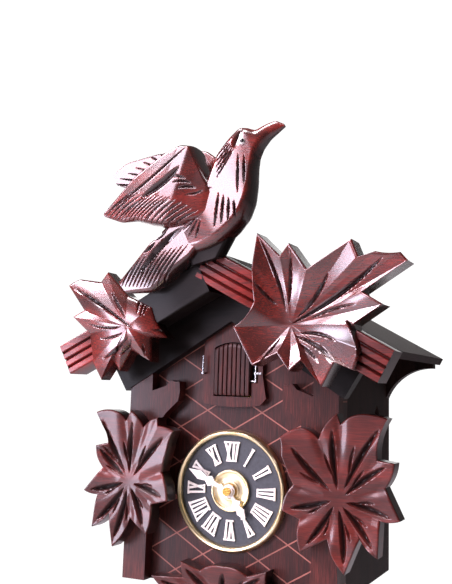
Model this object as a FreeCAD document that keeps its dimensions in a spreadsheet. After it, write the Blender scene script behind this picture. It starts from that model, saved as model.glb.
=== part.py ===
"""Carved one-day cuckoo clock: case, carvings, dial, movement, pendulum and cuckoo.

Frame: millimetres, +Z up, the front faces -Y.  The origin is the centre of the hanging hole on
the wall plane.  "Dial coordinates" (x, z) are measured from the centre of the dial, which lies
hangHeight below the origin, and "forward" is measured towards the viewer from the front board.
"""
import FreeCAD, Part
import math
import os
import re

Vector = FreeCAD.Vector
DOC = FreeCAD.newDocument("cuckoo_clock")
SHEET = DOC.addObject("Spreadsheet::Sheet", "Sizes")

SIZES = [
    # case
    ("caseWidth", 134, "outside width over the side walls"),
    ("caseDepth", 104.5, "wall plane to the face of the front board"),
    ("caseDrop", 55, "dial centre down to the underside of the case"),
    ("hangHeight", 100, "hanging hole above the dial centre"),
    ("gableHeight", 131.7, "dial centre up to the underside of the ridge"),
    ("roofPitch", 28, "slope of the roof boards, degrees"),
    ("wallThick", 8, "side walls"),
    ("frontThick", 8, "front board"),
    ("rearThick", 8, "rear frame"),
    ("bottomThick", 7, "bottom board"),
    ("roofThick", 4.5, "roof boards"),
    ("eaveReach", 101, "roof boards, centre line to the eave"),
    ("roofForward", 15, "roof boards beyond the front board"),
    ("fitGap", 0.3, "general clearance between loose wooden pieces"),
    # front frame
    ("railPitch", 31.6, "slope of the lower edge of the gable rails, degrees"),
    ("railHeight", 98.5, "dial centre to the lower edge of the rails at the middle"),
    ("railThick", 9, "gable rails"),
    ("railReach", 70, "centre line to the lower outer corner of a rail"),
    ("stileWidth", 15, "frame stiles"),
    ("stileThick", 8, "frame stiles"),
    ("surroundThick", 4, "door surround"),
    ("surroundHalf", 21.5, "half width of the door surround at its foot"),
    # carvings
    ("barBack", 15, "roof-edge bars, back face forward of the front board"),
    ("barFront", 33.5, "roof-edge bars, front face forward of the front board"),
    ("barHeight", 19, "roof-edge bars, across the slope"),
    ("barReach", 95.5, "centre line to the lower outer corner of a bar"),
    ("leafBack", 22, "upper leaves, back face forward of the front board"),
    ("leafFront", 38, "upper leaves, front face forward of the front board"),
    ("lowLeafThick", 11, "lower leaves"),
    ("birdBack", 24, "perched bird, back of the body forward of the front board"),
    ("birdFront", 45, "perched bird, front of the body forward of the front board"),
    ("wingThick", 6, "perched bird's wings"),
    # dial
    ("bezelRadius", 35, "outside radius of the bezel"),
    ("bezelWidth", 3.5, "radial width of the bezel"),
    ("bezelThick", 5, "bezel"),
    ("dialThick", 1.5, "dial plate"),
    ("numeralRadius", 22.3, "centre of the numerals from the dial centre"),
    ("numeralHeight", 11.5, "numerals"),
    ("bossRadius", 12, "brass centre"),
    ("minuteReach", 28, "length of the minute hand"),
    ("hourReach", 19, "length of the hour hand"),
    ("handThick", 0.8, "hands"),
    # door
    ("doorWidth", 23, "cuckoo door"),
    ("doorHeight", 30.5, "cuckoo door, foot to the crown of its arch"),
    ("doorThick", 5.5, "cuckoo door"),
    ("doorSill", 55, "dial centre up to the foot of the door"),
    ("hingeX", 14.5, "hinge wire from the centre line"),
    ("wireRadius", 0.6, "hinge and latch wire"),
    # movement
    ("plateWidth", 78, "movement plates"),
    ("plateTop", 55.5, "dial centre up to the top of the plates"),
    ("plateDrop", 41, "dial centre down to the foot of the plates"),
    ("plateThick", 1.3, "movement plates"),
    ("plateGap", 29, "between the movement plates"),
    ("motionSpace", 9, "front board to the front plate"),
    ("arborRadius", 1.2, "arbors"),
    ("pivotRadius", 0.8, "pivots"),
    ("runGap", 0.05, "running clearance on radius"),
    ("anchorHeight", 46.5, "dial centre up to the pallet arbor"),
    ("hookHeight", 51.5, "dial centre up to the pendulum's hook"),
    ("pendulumDrop", 205, "pendulum's hook down to the centre of the bob"),
    ("rodRadius", 1, "pendulum rod"),
    ("bobHalf", 30, "half width of the leaf-shaped bob"),
    # bellows, gong and cuckoo
    ("whistleWidth", 17, "whistle boxes"),
    ("whistleHeight", 84, "whistle boxes"),
    ("soundHole", 20, "width of the sound holes in the side walls"),
    ("gongRadius", 30, "outermost turn of the gong"),
    ("armReach", 34, "cuckoo, upright rod to the perch"),
]

ALIASES = set()
for row, (alias, number, meaning) in enumerate(SIZES, start=1):
    SHEET.set("A%d" % row, meaning)
    SHEET.set("B%d" % row, str(number))
    SHEET.setAlias("B%d" % row, alias)
    ALIASES.add(alias)
DOC.recompute()


class Sheet:
    """Reads a driving dimension as a number: S.caseWidth."""

    def __getattr__(self, alias):
        return float(SHEET.get(alias))


S = Sheet()
PITCH = math.tan(math.radians(S.roofPitch))
RAIL = math.tan(math.radians(S.railPitch))
FRONT_Y = -S.caseDepth
NODES = []


# ---------------------------------------------------------------- helpers

def named(text):
    """Write an expression's aliases in full, as the sheet's own names."""
    return re.sub(r"[A-Za-z]\w*", lambda m: "Sizes." + m.group() if m.group() in ALIASES else m.group(), text)


def bind(obj, **sizes):
    """Bind properties to expressions; __ in a name stands for a dot."""
    for prop, text in sizes.items():
        obj.setExpression(prop.replace("__", "."), named(str(text)))
    return obj


def place(obj, x="0", y="0", z="0", rotation=None):
    """Place an object: x and z in dial coordinates, y as distance forward of the front board."""
    if rotation is not None:
        obj.Placement = FreeCAD.Placement(Vector(), rotation)
    bind(obj, Placement__Base__x=x)
    bind(obj, Placement__Base__y="-caseDepth - (%s)" % y)
    bind(obj, Placement__Base__z="%s - hangHeight" % z)
    return obj


def box(name, width, depth, height, x, back, z):
    """Box from x and z upwards, reaching `depth` forward from `back`."""
    obj = DOC.addObject("Part::Box", name)
    bind(obj, Length=width, Width=depth, Height=height)
    return place(obj, x, "(%s) + (%s)" % (back, depth), z)


def rod(name, radius, length, x, front, z):
    """Cylinder along Y that reaches back by `length` from its front end."""
    obj = DOC.addObject("Part::Cylinder", name)
    bind(obj, Radius=radius, Height=length)
    return place(obj, x, front, z, FreeCAD.Rotation(Vector(1, 0, 0), -90))


def post(name, radius, length, x, forward, z):
    """Upright cylinder that stands on z."""
    obj = DOC.addObject("Part::Cylinder", name)
    bind(obj, Radius=radius, Height=length)
    return place(obj, x, forward, z)


def cut(name, base, *tools):
    """Base with the tools taken away."""
    obj = DOC.addObject("Part::Cut", name)
    obj.Base = base
    obj.Tool = tools[0] if len(tools) == 1 else fuse(name + "_tools", *tools)
    return obj


def fuse(name, *parts):
    obj = DOC.addObject("Part::MultiFuse", name)
    obj.Shapes = list(parts)
    return obj


def node(obj, label):
    """Enter a finished sub-part under the name of its file."""
    obj.Label = label
    NODES.append(obj)
    return obj


def solid(label, shape):
    """Sub-part whose shape is worked out in code."""
    obj = DOC.addObject("Part::Feature", label + "_shape")
    placement = shape.Placement
    obj.Shape = shape
    obj.Placement = placement
    return node(obj, label)


def at(x, forward, z):
    """Point in dial coordinates."""
    return Vector(x, FRONT_Y - forward, z - S.hangHeight)


def outline(points):
    """Closed face in the XZ plane; a point (x, z, bulge) starts a curved side.

    The side from that point to the next is an arc whose middle stands off by bulge times the
    side's length, to the left of the way of travel.
    """
    edges = []
    for i, point in enumerate(points):
        end = points[(i + 1) % len(points)]
        start3 = Vector(point[0], 0, point[1] - S.hangHeight)
        end3 = Vector(end[0], 0, end[1] - S.hangHeight)
        if len(point) == 2:
            edges.append(Part.makeLine(start3, end3))
            continue
        side = end3 - start3
        middle = (start3 + end3) * 0.5 + Vector(-side.z, 0, side.x) * point[2]
        edges.append(Part.Arc(start3, middle, end3).toShape())
    return Part.Face(Part.Wire(edges))


def plate(name, points, back, thick):
    """Flat piece of the given outline that reaches `thick` forward from `back`."""
    face = DOC.addObject("Part::Feature", name + "_outline")
    face.Shape = outline(points)
    obj = DOC.addObject("Part::Extrusion", name)
    obj.Base = face
    obj.DirMode = "Custom"
    obj.Dir = Vector(0, -1, 0)
    obj.Solid = True
    bind(obj, LengthFwd=thick)
    bind(obj, Placement__Base__y="-caseDepth - (%s)" % back)
    return obj


def mirrored(points):
    """The same outline on the other side of the centre line."""
    return [(-p[0],) + tuple(p[1:2]) + tuple(-b for b in p[2:]) for p in points]


def sided(points, side):
    return points if side > 0 else mirrored(points)


def roof_z(x):
    """Underside of the roof in dial coordinates."""
    return S.gableHeight - PITCH * abs(x)


def rail_z(x):
    """Lower edge of the gable rails in dial coordinates."""
    return S.railHeight - RAIL * abs(x)


SIDES = (("left", -1), ("right", 1))


# ---------------------------------------------------------------- case

def sound_hole(side):
    """Pointed hole through a side wall, as a tool."""
    half = S.soundHole / 2
    y = FRONT_Y + S.caseDepth * 0.7
    low = 24 - S.hangHeight
    x = side * (S.caseWidth / 2 - S.wallThick - 1)
    foot = [Vector(x, y - half, low + half), Vector(x, y, low), Vector(x, y + half, low + half)]
    tip = Vector(x, y, low + 2.7 * half)
    lean = Vector(0, half * 0.75, half * 1.6)
    edges = [Part.Arc(*foot).toShape(),
             Part.Arc(foot[2], Vector(x, y, low) + lean + Vector(0, 0, half * 0.3), tip).toShape(),
             Part.Arc(tip, Vector(x, y - lean.y, low + lean.z + half * 0.3), foot[0]).toShape()]
    return Part.Face(Part.Wire(edges)).extrude(Vector(side * (S.wallThick + 2), 0, 0))


def side_walls():
    outer = S.caseWidth / 2
    inner = outer - S.wallThick
    for word, side in SIDES:
        wall = plate(word + "_wall_blank", sided([(inner, -S.caseDrop), (outer, -S.caseDrop),
                     (outer, roof_z(outer)), (inner, roof_z(inner))], side),
                     "rearThick - caseDepth", "caseDepth - rearThick - frontThick")
        hole = DOC.addObject("Part::Feature", word + "_sound_hole")
        hole.Shape = sound_hole(side)
        node(cut(word + "_wall", wall, hole), word + "_side_wall")


def case_outline():
    half = S.caseWidth / 2
    return [(-half, -S.caseDrop), (half, -S.caseDrop), (half, roof_z(half)), (0, S.gableHeight),
            (-half, roof_z(half))]


def opening_outline(left, right, foot, crown, rise):
    """Doorway with a segmental arch."""
    return [(left, foot), (right, foot), (right, crown - rise, -rise / (right - left)), (left, crown - rise)]


ARCH_RISE = 3.5
DOOR_CLEAR = 0.8


def front_boards():
    board = plate("front_blank", case_outline(), "-frontThick", "frontThick")
    door_top = S.doorSill + S.doorHeight
    way = plate("front_way", opening_outline(-10, S.hingeX + 1.7, S.doorSill - 1, door_top, ARCH_RISE),
                "-frontThick - 1", "frontThick + 2")
    eye = rod("front_eye", 4, "frontThick + 2", "0", "1", "0")
    node(cut("front", board, way, eye), "front_board")

    foot = S.surroundHalf
    head = foot - 2.4
    sill = S.doorSill - 5.3
    blank = plate("surround_blank",
                  [(-foot, sill + 4), (-foot + 3.5, sill, -0.04), (foot - 3.5, sill), (foot, sill + 4),
                   (head, S.doorSill + 12), (head, rail_z(head)), (0, S.railHeight),
                   (-head, rail_z(head)), (-head, S.doorSill + 12)], "0", "surroundThick")
    half = S.doorWidth / 2 + DOOR_CLEAR
    way = plate("surround_way", opening_outline(-half, half, S.doorSill - DOOR_CLEAR,
                door_top + DOOR_CLEAR, ARCH_RISE), "-1", "surroundThick + 2")
    notch = box("hinge_notch", "hingeX + 1.7", "surroundThick + 2", "21", "0", "-1", "doorSill + 7.5")
    pivot = rod("latch_hole", "wireRadius + runGap", "surroundThick + 1", "-18.3", "surroundThick + 0.5",
                "doorSill + 12.5")
    node(cut("surround", blank, way, notch, pivot), "door_surround")


def rails():
    """Two sloping rails under the roof, mitred at the ridge and square at their outer ends."""
    lean = Vector(math.sin(math.radians(S.railPitch)), math.cos(math.radians(S.railPitch)), 0)
    foot = rail_z(S.railReach)
    run = (roof_z(S.railReach) - foot) / (lean.y + PITCH * lean.x)
    end = (S.railReach + run * lean.x, foot + run * lean.y)
    shape = [(0, S.railHeight), (S.railReach, foot), end, (0, S.gableHeight)]
    pair = [plate(word + "_rail", sided(shape, side), "0", "railThick") for word, side in SIDES]
    rails_pair = DOC.addObject("Part::Compound", "rails")
    rails_pair.Links = pair
    node(rails_pair, "gable_rails")


def stiles():
    """Upright frame pieces, each with a half leaf carved on its inner edge."""
    outer = S.caseWidth / 2
    inner = outer - S.stileWidth
    shape = [(inner, -S.caseDrop), (outer, -S.caseDrop), (outer, rail_z(outer)), (inner, rail_z(inner)),
             (inner, 56), (inner - 10, 59.5), (inner - 13, 62.8, 0.1), (inner - 18.5, 62), (inner - 19, 56),
             (inner - 18, 50.5), (inner - 10, 43), (inner - 6, 38, 0.1), (inner, 26)]
    for word, side in SIDES:
        node(plate(word + "_stile", sided(shape, side), "0", "stileThick"), word + "_frame_stile")


def roof_boards():
    thick = S.roofThick / math.cos(math.radians(S.roofPitch))
    end = (S.eaveReach, roof_z(S.eaveReach))
    tip = (end[0] + S.roofThick * math.sin(math.radians(S.roofPitch)),
           end[1] + S.roofThick * math.cos(math.radians(S.roofPitch)))
    shape = [(0, S.gableHeight), end, tip, (0, S.gableHeight + thick)]
    for word, side in SIDES:
        node(plate(word + "_roof", sided(shape, side), "-caseDepth", "caseDepth + roofForward"),
             word + "_roof_board")


PANEL_HALF = 50
PANEL_FOOT = -38
PANEL_HEAD = 72
LIP = 3
PANEL_THICK = 4
INSET = 1.5


def rear_pieces():
    """Rear frame that flares under the eaves, its removable panel, the hanger and two turn buttons."""
    half = S.caseWidth / 2
    flare = S.eaveReach - 3
    blank = plate("rear_blank",
                  [(-half, -S.caseDrop), (half, -S.caseDrop), (half, 55, 0.16), (flare, roof_z(flare) - 4),
                   (flare, roof_z(flare)), (0, S.gableHeight), (-flare, roof_z(flare)),
                   (-flare, roof_z(flare) - 4, 0.16), (-half, 55)], "-caseDepth", "rearThick")
    through = box("rear_through", 2 * (PANEL_HALF - LIP), "rearThick + 2", PANEL_HEAD - PANEL_FOOT - 2 * LIP,
                  LIP - PANEL_HALF, "-caseDepth - 1", PANEL_FOOT + LIP)
    gap = S.fitGap
    rebate = box("rear_rebate", 2 * (PANEL_HALF + gap), PANEL_THICK + INSET + 1,
                 PANEL_HEAD - PANEL_FOOT + 2 * gap, -PANEL_HALF - gap, "-caseDepth - 1", PANEL_FOOT - gap)
    recess = box("hanger_recess", 44, INSET + 1, 26, -22, "-caseDepth - 1", "hangHeight - 13")
    head_room = rod("nail_room", 7, "rearThick + 2", "0", "1 - caseDepth + rearThick", "hangHeight")
    button_room = [rod("button_recess_%s" % word, 9.5, INSET + 1, "0", "%s - caseDepth" % INSET, z)
                   for word, z in (("top", PANEL_HEAD + 4.5), ("foot", PANEL_FOOT - 4.5))]
    pins = [rod("button_hole_%s" % word, 1.6 + S.runGap, "rearThick + 2", "0", "1 - caseDepth + rearThick", z)
            for word, z in (("top", PANEL_HEAD + 4.5), ("foot", PANEL_FOOT - 4.5))]
    node(cut("rear", blank, through, rebate, recess, head_room, *button_room, *pins), "rear_frame")
    node(box("panel", 2 * PANEL_HALF, PANEL_THICK, PANEL_HEAD - PANEL_FOOT, -PANEL_HALF,
             "-caseDepth + %s" % INSET, PANEL_FOOT), "back_panel")

    strap = box("strap", 43.4, INSET, 25.4, -21.7, "-caseDepth", "hangHeight - 12.7")
    hole = rod("strap_hole", 4, 10, "0", "5 - caseDepth", "hangHeight")
    node(cut("hanger", strap, hole), "hanger_plate")

    for word, z in (("top", PANEL_HEAD + 4.5), ("foot", PANEL_FOOT - 4.5)):
        bar = box("button_bar_" + word, 7, 1.2, 17, -3.5, "-caseDepth + 0.2", z - 8.5)
        pin = rod("button_pin_" + word, 1.6, 6, "0", "6.2 - caseDepth", z)
        node(fuse("button_" + word, bar, pin), "turn_button_" + word)


def bottom():
    inner = S.caseWidth / 2 - S.wallThick
    board = box("bottom_blank", 2 * inner, "caseDepth - frontThick - rearThick", "bottomThick", -inner,
                "rearThick - caseDepth", "-caseDrop")
    slot = box("pendulum_slot", 30, 9, "bottomThick + 2", -15, SWING_FORWARD - 4.5, "-caseDrop - 1")
    chains = [post("chain_hole_%d" % i, 3.2, "bottomThick + 2", x, CHAIN_FORWARD, "-caseDrop - 1")
              for i, x in enumerate(CHAIN_X)]
    node(cut("bottom", board, slot, *chains), "bottom_board")


# ---------------------------------------------------------------- carvings

def bar_outline():
    """Roof-edge bar from the ridge out to its square end."""
    lean = (math.sin(math.radians(S.roofPitch)), math.cos(math.radians(S.roofPitch)))
    top = S.gableHeight + S.roofThick / lean[1]
    foot = top - S.barHeight / lean[1]
    low = (S.barReach, foot - PITCH * S.barReach)
    high = (low[0] + S.barHeight * lean[0], low[1] + S.barHeight * lean[1])
    return [(0, foot), low, high, (0, top)]


RIGHT_LEAF = [
    (26, 107.5, 0.1), (14, 93), (26, 72), (40.5, 78.8), (48, 69.3), (54.5, 75.3), (66.5, 61.8),
    (73.5, 74.5), (84, 70.5), (87.5, 82, 0.1), (84, 94.8), (99.5, 105.2), (88, 112), (112.5, 128),
    (108.5, 132.5, 0.05), (95, 133.4), (86, 130.8), (82, 140.5), (57, 125), (46.2, 139.6), (41, 132.8),
    (27, 146), (24, 126)]

LEFT_LEAF = [
    (-41.5, 105, -0.08), (-30, 87), (-41, 87), (-40.5, 73), (-54, 79.5), (-61.5, 67), (-66, 73),
    (-74, 61.5), (-80.5, 71.5), (-84, 89), (-97, 99.5), (-89, 103.5), (-101.5, 119, 0.06), (-93, 122.8),
    (-78, 120.8), (-73.3, 126.8), (-58, 112)]


def roof_carvings():
    """One carved piece each side: the bar along the roof's edge and the leaf in front of it."""
    leaves = {"left": LEFT_LEAF, "right": RIGHT_LEAF}
    for word, side in SIDES:
        bar = plate(word + "_bar", sided(bar_outline(), side), "barBack", "barFront - barBack")
        leaf = plate(word + "_upper_leaf", leaves[word], "leafBack", "leafFront - leafBack")
        node(fuse(word + "_carving", bar, leaf), word + "_roof_carving")


RIGHT_LOW_LEAF = [
    (37.1, 23.5), (36.3, 33.3), (47, 39), (58.5, 33.4), (69.1, 47.5), (71, 42), (84, 47.8), (97.3, 45.9),
    (91.4, 24), (101, 23), (96, 10), (104, -6), (93, -7), (92, -26), (82, -17), (74, -36), (64, -19),
    (49, -27), (48, -10), (38, -6), (44, 8)]

LEFT_LOW_LEAF = [
    (-34.1, 23.8), (-30.9, 33.2), (-42, 39), (-51.6, 34.5), (-60.5, 43.8), (-64, 38), (-72, 43.5),
    (-84.5, 42), (-76, 24), (-84, 22), (-79, 9), (-91, -5), (-82, -7), (-84, -26), (-73, -17), (-69, -36),
    (-58, -19), (-46, -27), (-44, -10), (-33, -7), (-38, 9)]

BELOW_BEZEL_LEAF = [
    (0, -6, 0.1), (15, -10), (27, -6), (26, -15), (46, -16), (36, -25), (44, -34), (27, -34), (21, -45),
    (11, -41), (0, -61), (-11, -41), (-21, -45), (-27, -34), (-44, -34), (-36, -25), (-46, -16),
    (-26, -15), (-27, -6), (-15, -10, 0.1)]


def lower_leaves():
    node(plate("right_low", RIGHT_LOW_LEAF, "stileThick", "lowLeafThick"), "right_side_leaf")
    node(plate("left_low", LEFT_LOW_LEAF, "stileThick", "lowLeafThick"), "left_side_leaf")
    foot = [(p[0], p[1] - S.bezelRadius) + tuple(p[2:]) for p in BELOW_BEZEL_LEAF]
    node(plate("foot_leaf", foot, "0", "lowLeafThick"), "bottom_leaf")


BODY = [
    (3, 136.5), (12, 131.8), (13, 147.5), (21.5, 157, -0.06), (25, 170), (25.5, 187), (28.5, 197),
    (42, 209), (41, 211.5), (35, 214, 0.05), (24.5, 209.5), (15, 211.5), (8, 205), (0.5, 195.5),
    (-3, 183), (-14, 172), (-30, 152), (-24, 138.5), (-8.5, 139)]
TAIL = [(-24, 156), (-38.5, 142.7), (-59, 121), (-53.5, 116.5, 0.08), (-37, 115.5), (-18, 134)]
NEAR_WING = [
    (2, 172), (-0.5, 177.5), (-11, 200.5), (-17, 201), (-26, 197.5), (-48, 184.5), (-69.8, 162.5),
    (-62, 158.2), (-46, 158), (-37, 154.8), (-26, 152.5), (-8, 156)]
FAR_WING = [
    (-2, 184), (-7, 198.5), (-13.5, 203), (-26, 205), (-47, 203.5), (-69, 199), (-76.5, 192),
    (-67.5, 185), (-45, 172), (-16, 168)]


def perched_bird():
    body = plate("bird_torso", BODY, "birdBack", "birdFront - birdBack")
    tail = plate("bird_tail", TAIL, "leafFront + fitGap", "birdFront - leafFront - fitGap")
    node(fuse("bird_body", body, tail), "perched_bird_body")
    node(plate("near_wing", NEAR_WING, "birdFront", "wingThick"), "perched_bird_near_wing")
    node(plate("far_wing", FAR_WING, "birdBack - wingThick", "wingThick"), "perched_bird_far_wing")
    beads = [rod("eye_" + word, 1.8, 1.2, "15", front, "202") for word, front in
             (("near", "birdFront + 1.2"), ("far", "birdBack"))]
    eyes = DOC.addObject("Part::Compound", "eyes")
    eyes.Links = beads
    node(eyes, "perched_bird_eyes")


# ---------------------------------------------------------------- dial and hands

def ring(name, outer, inner, thick, front):
    """Flat ring about the dial's axis, its face at `front`."""
    disc = rod(name + "_disc", outer, thick, "0", front, "0")
    hole = rod(name + "_hole", inner, "(%s) + 2" % thick, "0", "(%s) + 1" % front, "0")
    return cut(name, disc, hole)


def stroke(x, top_x, width, height):
    """One upright or leaning stroke of a numeral, standing on z = 0."""
    return [(x - width / 2, 0), (x + width / 2, 0), (top_x + width / 2, height), (top_x - width / 2, height)]


NUMERALS = ["XII", "I", "II", "III", "IIII", "V", "VI", "VII", "VIII", "IX", "X", "XI"]
LETTER_PITCH = {"I": 2.6, "V": 5.4, "X": 5.6}


def numeral(word):
    """Raised numeral of plain strokes on z = 0, narrower at its foot, which faces the centre."""
    tall = S.numeralHeight
    taper = (S.numeralRadius - tall / 2) / (S.numeralRadius + tall / 2) * 1.1
    depth = Vector(0, -1.0, 0)
    x = -sum(LETTER_PITCH[letter] for letter in word) / 2
    pieces = []
    for letter in word:
        step = LETTER_PITCH[letter]
        mid = x + step / 2
        lean = step * 0.3
        strokes = {"I": [(mid, mid)], "V": [(mid, mid - lean), (mid, mid + lean)],
                   "X": [(mid - lean, mid + lean), (mid + lean, mid - lean)]}[letter]
        for low, high in strokes:
            points = [Vector(px * (taper if pz == 0 else 1), 0, pz)
                      for px, pz in stroke(low, high, 1.5, tall)]
            pieces.append(Part.Face(Part.makePolygon(points + points[:1])).extrude(depth))
        x += step
    head = sum(LETTER_PITCH[letter] for letter in word) / 2 - 0.3
    for half, z in ((head * taper, 0), (head, tall - 0.9)):
        pieces.append(Part.makeBox(2 * half, 1.0, 0.9, Vector(-half, -1.0, z)))
    return pieces[0].fuse(pieces[1:]).removeSplitter()


def dial():
    edge = "bezelRadius - bezelWidth"
    node(ring("bezel", "bezelRadius", edge, "bezelThick", "bezelThick"), "bezel_ring")
    node(ring("face", edge + " - runGap", "4", "dialThick", "dialThick"), "dial_plate")
    boss = ring("boss_low", "bossRadius", "3.3", "1", "dialThick + 1")
    rim = ring("boss_rim", "bossRadius", "bossRadius - 2", "1", "dialThick + 2")
    hub = ring("boss_hub", "5.5", "3.3", "0.8", "dialThick + 1.8")
    node(fuse("boss", boss, rim, hub), "dial_centre")
    glyphs = []
    for hour, word in enumerate(NUMERALS):
        shape = numeral(word)
        shape.translate(Vector(0, 0, S.numeralRadius - S.numeralHeight / 2))
        shape.rotate(Vector(), Vector(0, 1, 0), 30 * hour)
        shape.translate(at(0, S.dialThick, 0))
        glyphs.append(shape)
    solid("dial_numerals", Part.makeCompound(glyphs))


MINUTE_ANGLE = 294
HOUR_ANGLE = 144.5


def hand(label, reach, hub, bore, forward, angle):
    """Serpentine hand cut from a flat sheet: a hub, two waves and a leaf-shaped point."""
    right = [(0.8, hub * 0.9), (1.2, reach * 0.35), (3.2, reach * 0.45), (1.2, reach * 0.55),
             (2.6, reach * 0.72)]
    left = [(-x, z) for x, z in right]
    points = [Vector(x, 0, z) for x, z in left + [(0, reach)] + right[::-1]]
    blade = Part.Face(Part.makePolygon(points + points[:1])).extrude(Vector(0, -S.handThick, 0))
    disc = Part.makeCylinder(hub, S.handThick, Vector(), Vector(0, -1, 0))
    hole = Part.makeCylinder(bore, S.handThick + 2, Vector(0, 1, 0), Vector(0, -1, 0))
    shape = disc.fuse(blade).cut(hole)
    shape.rotate(Vector(), Vector(0, 1, 0), angle)
    shape.translate(at(0, forward, 0))
    solid(label, shape)


HOUR_FORWARD = 4.6
MINUTE_FORWARD = 6.2


def hands():
    hand("hour_hand", S.hourReach, 3.8, 2.9, HOUR_FORWARD, HOUR_ANGLE)
    hand("minute_hand", S.minuteReach, 3.2, 1.8, MINUTE_FORWARD, MINUTE_ANGLE)
    node(rod("nut", 2.4, 1.6, "0", MINUTE_FORWARD + S.handThick + 1.6, "0"), "hand_nut")


# ---------------------------------------------------------------- door

def door():
    half = S.doorWidth / 2
    slab = plate("door_slab", opening_outline(-half, half, S.doorSill, S.doorSill + S.doorHeight, ARCH_RISE),
                 "0.4", "doorThick")
    holes = [wire_bore("door_bore_%d" % i, z) for i, z in enumerate(HINGE_Z)]
    node(cut("door_leaf", slab, *holes), "door")
    upright = post("hinge_upright", "wireRadius", HINGE_Z[1] - HINGE_Z[0] + 1.2, "hingeX", DOOR_AXIS,
                   HINGE_Z[0] - 0.6)
    ends = [wire_arm("hinge_arm_%d" % i, z) for i, z in enumerate(HINGE_Z)]
    node(fuse("hinge", upright, *ends), "door_hinge_wire")

    leg = rod("latch_leg", "wireRadius", 6, "-18.3", LATCH_FORWARD + 0.9, "doorSill + 12.5")
    arm = post("latch_arm", "wireRadius - 0.05", 10.5, "-18.3", LATCH_FORWARD, "doorSill + 12.5")
    node(fuse("latch", leg, arm), "door_latch_wire")


HINGE_Z = (S.doorSill + 8.5, S.doorSill + 26)
DOOR_AXIS = 0.4 + S.doorThick / 2
LATCH_FORWARD = S.doorThick + 1.3


def wire_bore(name, z):
    """Hole in the door's edge for an arm of the hinge wire, as a tool."""
    obj = DOC.addObject("Part::Cylinder", name)
    bind(obj, Radius="wireRadius", Height="6")
    return place(obj, "doorWidth/2 - 5", DOOR_AXIS, z, FreeCAD.Rotation(Vector(0, 1, 0), 90))


def wire_arm(name, z):
    """Arm of the hinge wire, from the door's bore to the upright."""
    obj = DOC.addObject("Part::Cylinder", name)
    bind(obj, Radius="wireRadius - runGap", Height="hingeX - doorWidth/2 + 5")
    return place(obj, "doorWidth/2 - 5", DOOR_AXIS, z, FreeCAD.Rotation(Vector(0, 1, 0), 90))


def staples():
    """Eyes that hold the hinge wire at the edge of the doorway."""
    eyes = []
    for i, z in enumerate((HINGE_Z[0] + 4, HINGE_Z[1] - 4)):
        eye = post("staple_ring_%d" % i, "wireRadius + 0.8", 1.2, "hingeX", DOOR_AXIS, z)
        bore = post("staple_bore_%d" % i, "wireRadius + runGap", 3, "hingeX", DOOR_AXIS, z - 1)
        foot = box("staple_foot_%d" % i, "3", "0.6", "1.2", "hingeX + 0.9", "surroundThick", z)
        eyes.append(cut("staple_%d" % i, fuse("staple_body_%d" % i, eye, foot), bore))
    pair = DOC.addObject("Part::Compound", "staples")
    pair.Links = eyes
    node(pair, "wire_staples")


# ---------------------------------------------------------------- movement

FRONT_PLATE = -(S.frontThick + S.motionSpace)
INNER = FRONT_PLATE - S.plateThick
BACK_PLATE = INNER - S.plateGap
BACK_FACE = BACK_PLATE - S.plateThick
END_SHAKE = 0.15
CENTRE = (0, 0)
GREAT = (17, -18.6)
THIRD = (12, 13.4)
ESCAPE = (5, 29.55)
MINUTE = (9.9, -9.9)
STRIKE = (-17, -18.6)
PIN = (-20, 3.25)
FLY = (-13, 18.76)
SPROCKET_RADIUS = 9
CHAIN_X = [c[0] + side * SPROCKET_RADIUS for c in (GREAT, STRIKE) for side in (-1, 1)]
CHAIN_FORWARD = INNER - 9
SWING_FORWARD = BACK_FACE - 5.5
PILLARS = [(x, z) for x in (-35, 35) for z in (-37, 49)]


def toothed_disc(teeth, module, front, thick, centre, towards, pinion=False):
    """Wheel or pinion with clock teeth: straight radial flanks and pointed tips.

    Teeth are centred on the line towards its mate; a pinion has a space there instead.
    """
    pitch = module * teeth / 2
    root = pitch - (1.5 if pinion else 1.3) * module
    tip = pitch + (0.6 if pinion else 0.9) * module
    flank = (0.19 if pinion else 0.2) * math.pi * module / pitch
    point = flank * 0.35
    start = math.atan2(towards[1] - centre[1], towards[0] - centre[0])
    if pinion:
        start += math.pi / teeth
    corners = []
    for i in range(teeth):
        middle = start + 2 * math.pi * i / teeth
        for radius, turn in ((root, -flank), (pitch, -flank), (tip, -point), (tip, point), (pitch, flank),
                             (root, flank)):
            corners.append(at(centre[0] + radius * math.cos(middle + turn), front,
                              centre[1] + radius * math.sin(middle + turn)))
    return Part.Face(Part.makePolygon(corners + corners[:1])).extrude(Vector(0, thick, 0))


def shaft(radius, front, back, centre):
    """Cylinder along Y between two forward distances."""
    return Part.makeCylinder(radius, front - back, at(centre[0], front, centre[1]), Vector(0, 1, 0))


def arbor(centre):
    """Arbor between the plates, with a pivot through each."""
    thin = S.pivotRadius
    body = shaft(S.arborRadius, INNER - END_SHAKE, BACK_PLATE + END_SHAKE, centre)
    return body.fuse([shaft(thin, FRONT_PLATE + 0.4, INNER, centre),
                      shaft(thin, BACK_PLATE, BACK_FACE - 0.4, centre)])


def depth(distance):
    """Forward position of a layer that lies `distance` behind the front plate."""
    return INNER - distance


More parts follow.
